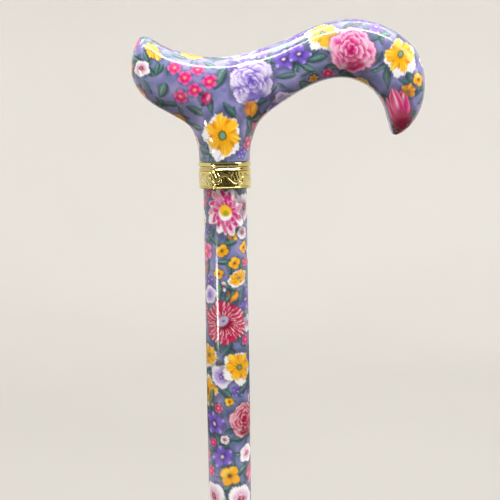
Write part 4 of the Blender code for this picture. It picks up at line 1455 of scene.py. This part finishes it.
def buildStudio():
    made, tree, shader = finishOf("paperBackdrop", {"Roughness": 0.9, "Specular IOR Level": 0.1})
    where = put(tree, "TexCoord").outputs["Object"]
    cloud = put(tree, "TexNoise", {"Vector": where, "Scale": 1.2, "Detail": 3.0}).outputs["Fac"]
    away = put(tree, "VectorMath", {"Vector": where}, operation="LENGTH").outputs["Value"]
    # painted shade on the floor: darker under the cane, fading to the wall's tone farther out
    near, far = studio["floorShadeFade"]
    rise = put(tree, "MapRange", {"Value": away, "From Min": near, "From Max": far},
               interpolation_type="SMOOTHSTEP").outputs["Result"]
    wall, floor = np.array(studio["wallColour"]), np.array(studio["shadedFloorColour"])
    onWall = ramp(tree, cloud, [(0.3, tuple(wall * 0.98)), (0.7, tuple(wall * 1.02))])
    onShadedFloor = ramp(tree, cloud, [(0.3, tuple(floor * 0.98)), (0.7, tuple(floor * 1.02))])
    tone = mixTones(tree, rise, onShadedFloor, onWall)
    tree.links.new(tone, shader.inputs["Base Color"])
    # painted light: the backdrop glows in its own tone, more the farther it is from the cane
    tree.links.new(tone, shader.inputs["Emission Color"])
    glow = put(tree, "MapRange", {"Value": rise, "To Min": 0.0, "To Max": studio["wallGlow"]})
    tree.links.new(glow.outputs["Result"], shader.inputs["Emission Strength"])
    wallAt, cove = studio["wallRadius"], studio["coveRadius"]
    profile = [(0.0001, 0.0), (wallAt - cove, 0.0)]
    for k in range(1, 17):
        a = math.pi / 2 * k / 16
        profile.append((wallAt - cove + cove * math.sin(a), cove - cove * math.cos(a)))
    profile.append((wallAt, studio["wallHeight"]))
    sweep("backdrop", profile, 96).data.materials.append(made)


def hangDarkCloth():
    # what the gilt and the lacquer mirror; the camera never sees it
    made, tree, shader = finishOf("darkCloth", {"Roughness": 1.0, "Specular IOR Level": 0.0})
    where = put(tree, "TexCoord").outputs["Object"]
    fold = put(tree, "TexNoise", {"Vector": where, "Scale": 3.0, "Detail": 2.0}).outputs["Fac"]
    tone = ramp(tree, fold, [(0.35, (0.020, 0.017, 0.012)), (0.65, (0.11, 0.095, 0.07))])
    tree.links.new(tone, shader.inputs["Base Color"])
    half = math.radians(studio["darkHalfAngle"])
    radius = studio["darkRadius"]
    cloth = sweep("darkCloth", [(radius, -0.6), (radius, 1.9)], 24, -half, half)
    # a card below the handle keeps the floor's light off its underside
    cardHeight = collarTop - studio["underDrop"]
    card = sweep("underCard", [(0.03, cardHeight), (studio["underReach"], cardHeight)], 48)
    for dark in (cloth, card):
        dark.data.materials.append(made)
        dark.visible_camera = False
        dark.visible_shadow = False


def lamp(name, place, aim, size, power, colour=(1, 1, 1)):
    data = bpy.data.lights.new(name, "AREA")
    data.shape = "RECTANGLE"
    data.size, data.size_y = size
    data.energy = power
    data.color = colour
    made = bpy.data.objects.new(name, data)
    made.location = place
    made.rotation_euler = (Vector(aim) - Vector(place)).to_track_quat("-Z", "Y").to_euler()
    made.visible_camera = False
    bpy.context.scene.collection.objects.link(made)


buildStudio()
hangDarkCloth()
handleMiddle = (shaftX, shaftY, collarTop + 0.03)
shaftMiddle = (0, 0, 0.6)
lamps = {
    # place, aim, size, watts, colour
    "ceilingStrip": ((0.1, -0.95, 2.45), handleMiddle, (2.6, 0.32), 44, (1.0, 0.99, 0.97)),
    "ceilingSoft": ((0.4, 0.2, 3.3), (0, 0, 0.5), (3.6, 3.6), 100, (1.0, 0.98, 0.95)),
    "ceilingSheen": ((-0.75, 0.42, 2.5), handleMiddle, (1.1, 0.75), 15, (1.0, 0.99, 0.98)),
    "lowWindow": ((-2.1, -1.75, 0.31), shaftMiddle, (0.5, 0.22), 9.0, (1.0, 0.96, 0.88)),
    "farWindow": ((2.4, -1.2, 1.9), shaftMiddle, (1.3, 1.6), 22, (0.97, 0.98, 1.0)),
}
for lampName, setting in lamps.items():
    lamp(lampName, *setting)
world = bpy.data.worlds.new("studioAir")
world.use_nodes = True
sky = world.node_tree.nodes["Background"]
sky.inputs["Color"].default_value = (*studio["skyColour"], 1)
sky.inputs["Strength"].default_value = studio["skyStrength"]
bpy.context.scene.world = world

# camera

view = {
    "lens": 97.2,
    "distance": 0.694,
    "elevation": 6.5,  # degrees above the handle
    "roll": 0.81,
    "aim": (12.3, -45.7),  # millimetres from the shaft's axis and the collar's top
}
tilt, roll = math.radians(view["elevation"]), math.radians(view["roll"])
aimPoint = Vector((shaftX + view["aim"][0] * mm, shaftY, collarTop + view["aim"][1] * mm))
backward = Vector((0, -math.cos(tilt), math.sin(tilt)))
cameraData = bpy.data.cameras.new("camera")
cameraData.lens = view["lens"]
cameraData.clip_start = 0.01
camera = bpy.data.objects.new("camera", cameraData)
bpy.context.scene.collection.objects.link(camera)
camera.location = aimPoint + backward * view["distance"]
camera.rotation_mode = "QUATERNION"
camera.rotation_quaternion = Quaternion(backward, -roll) @ (-backward).to_track_quat("-Z", "Y")
bpy.context.scene.camera = camera
bpy.context.scene.view_settings.view_transform = "Standard"
print("studio and camera ready")
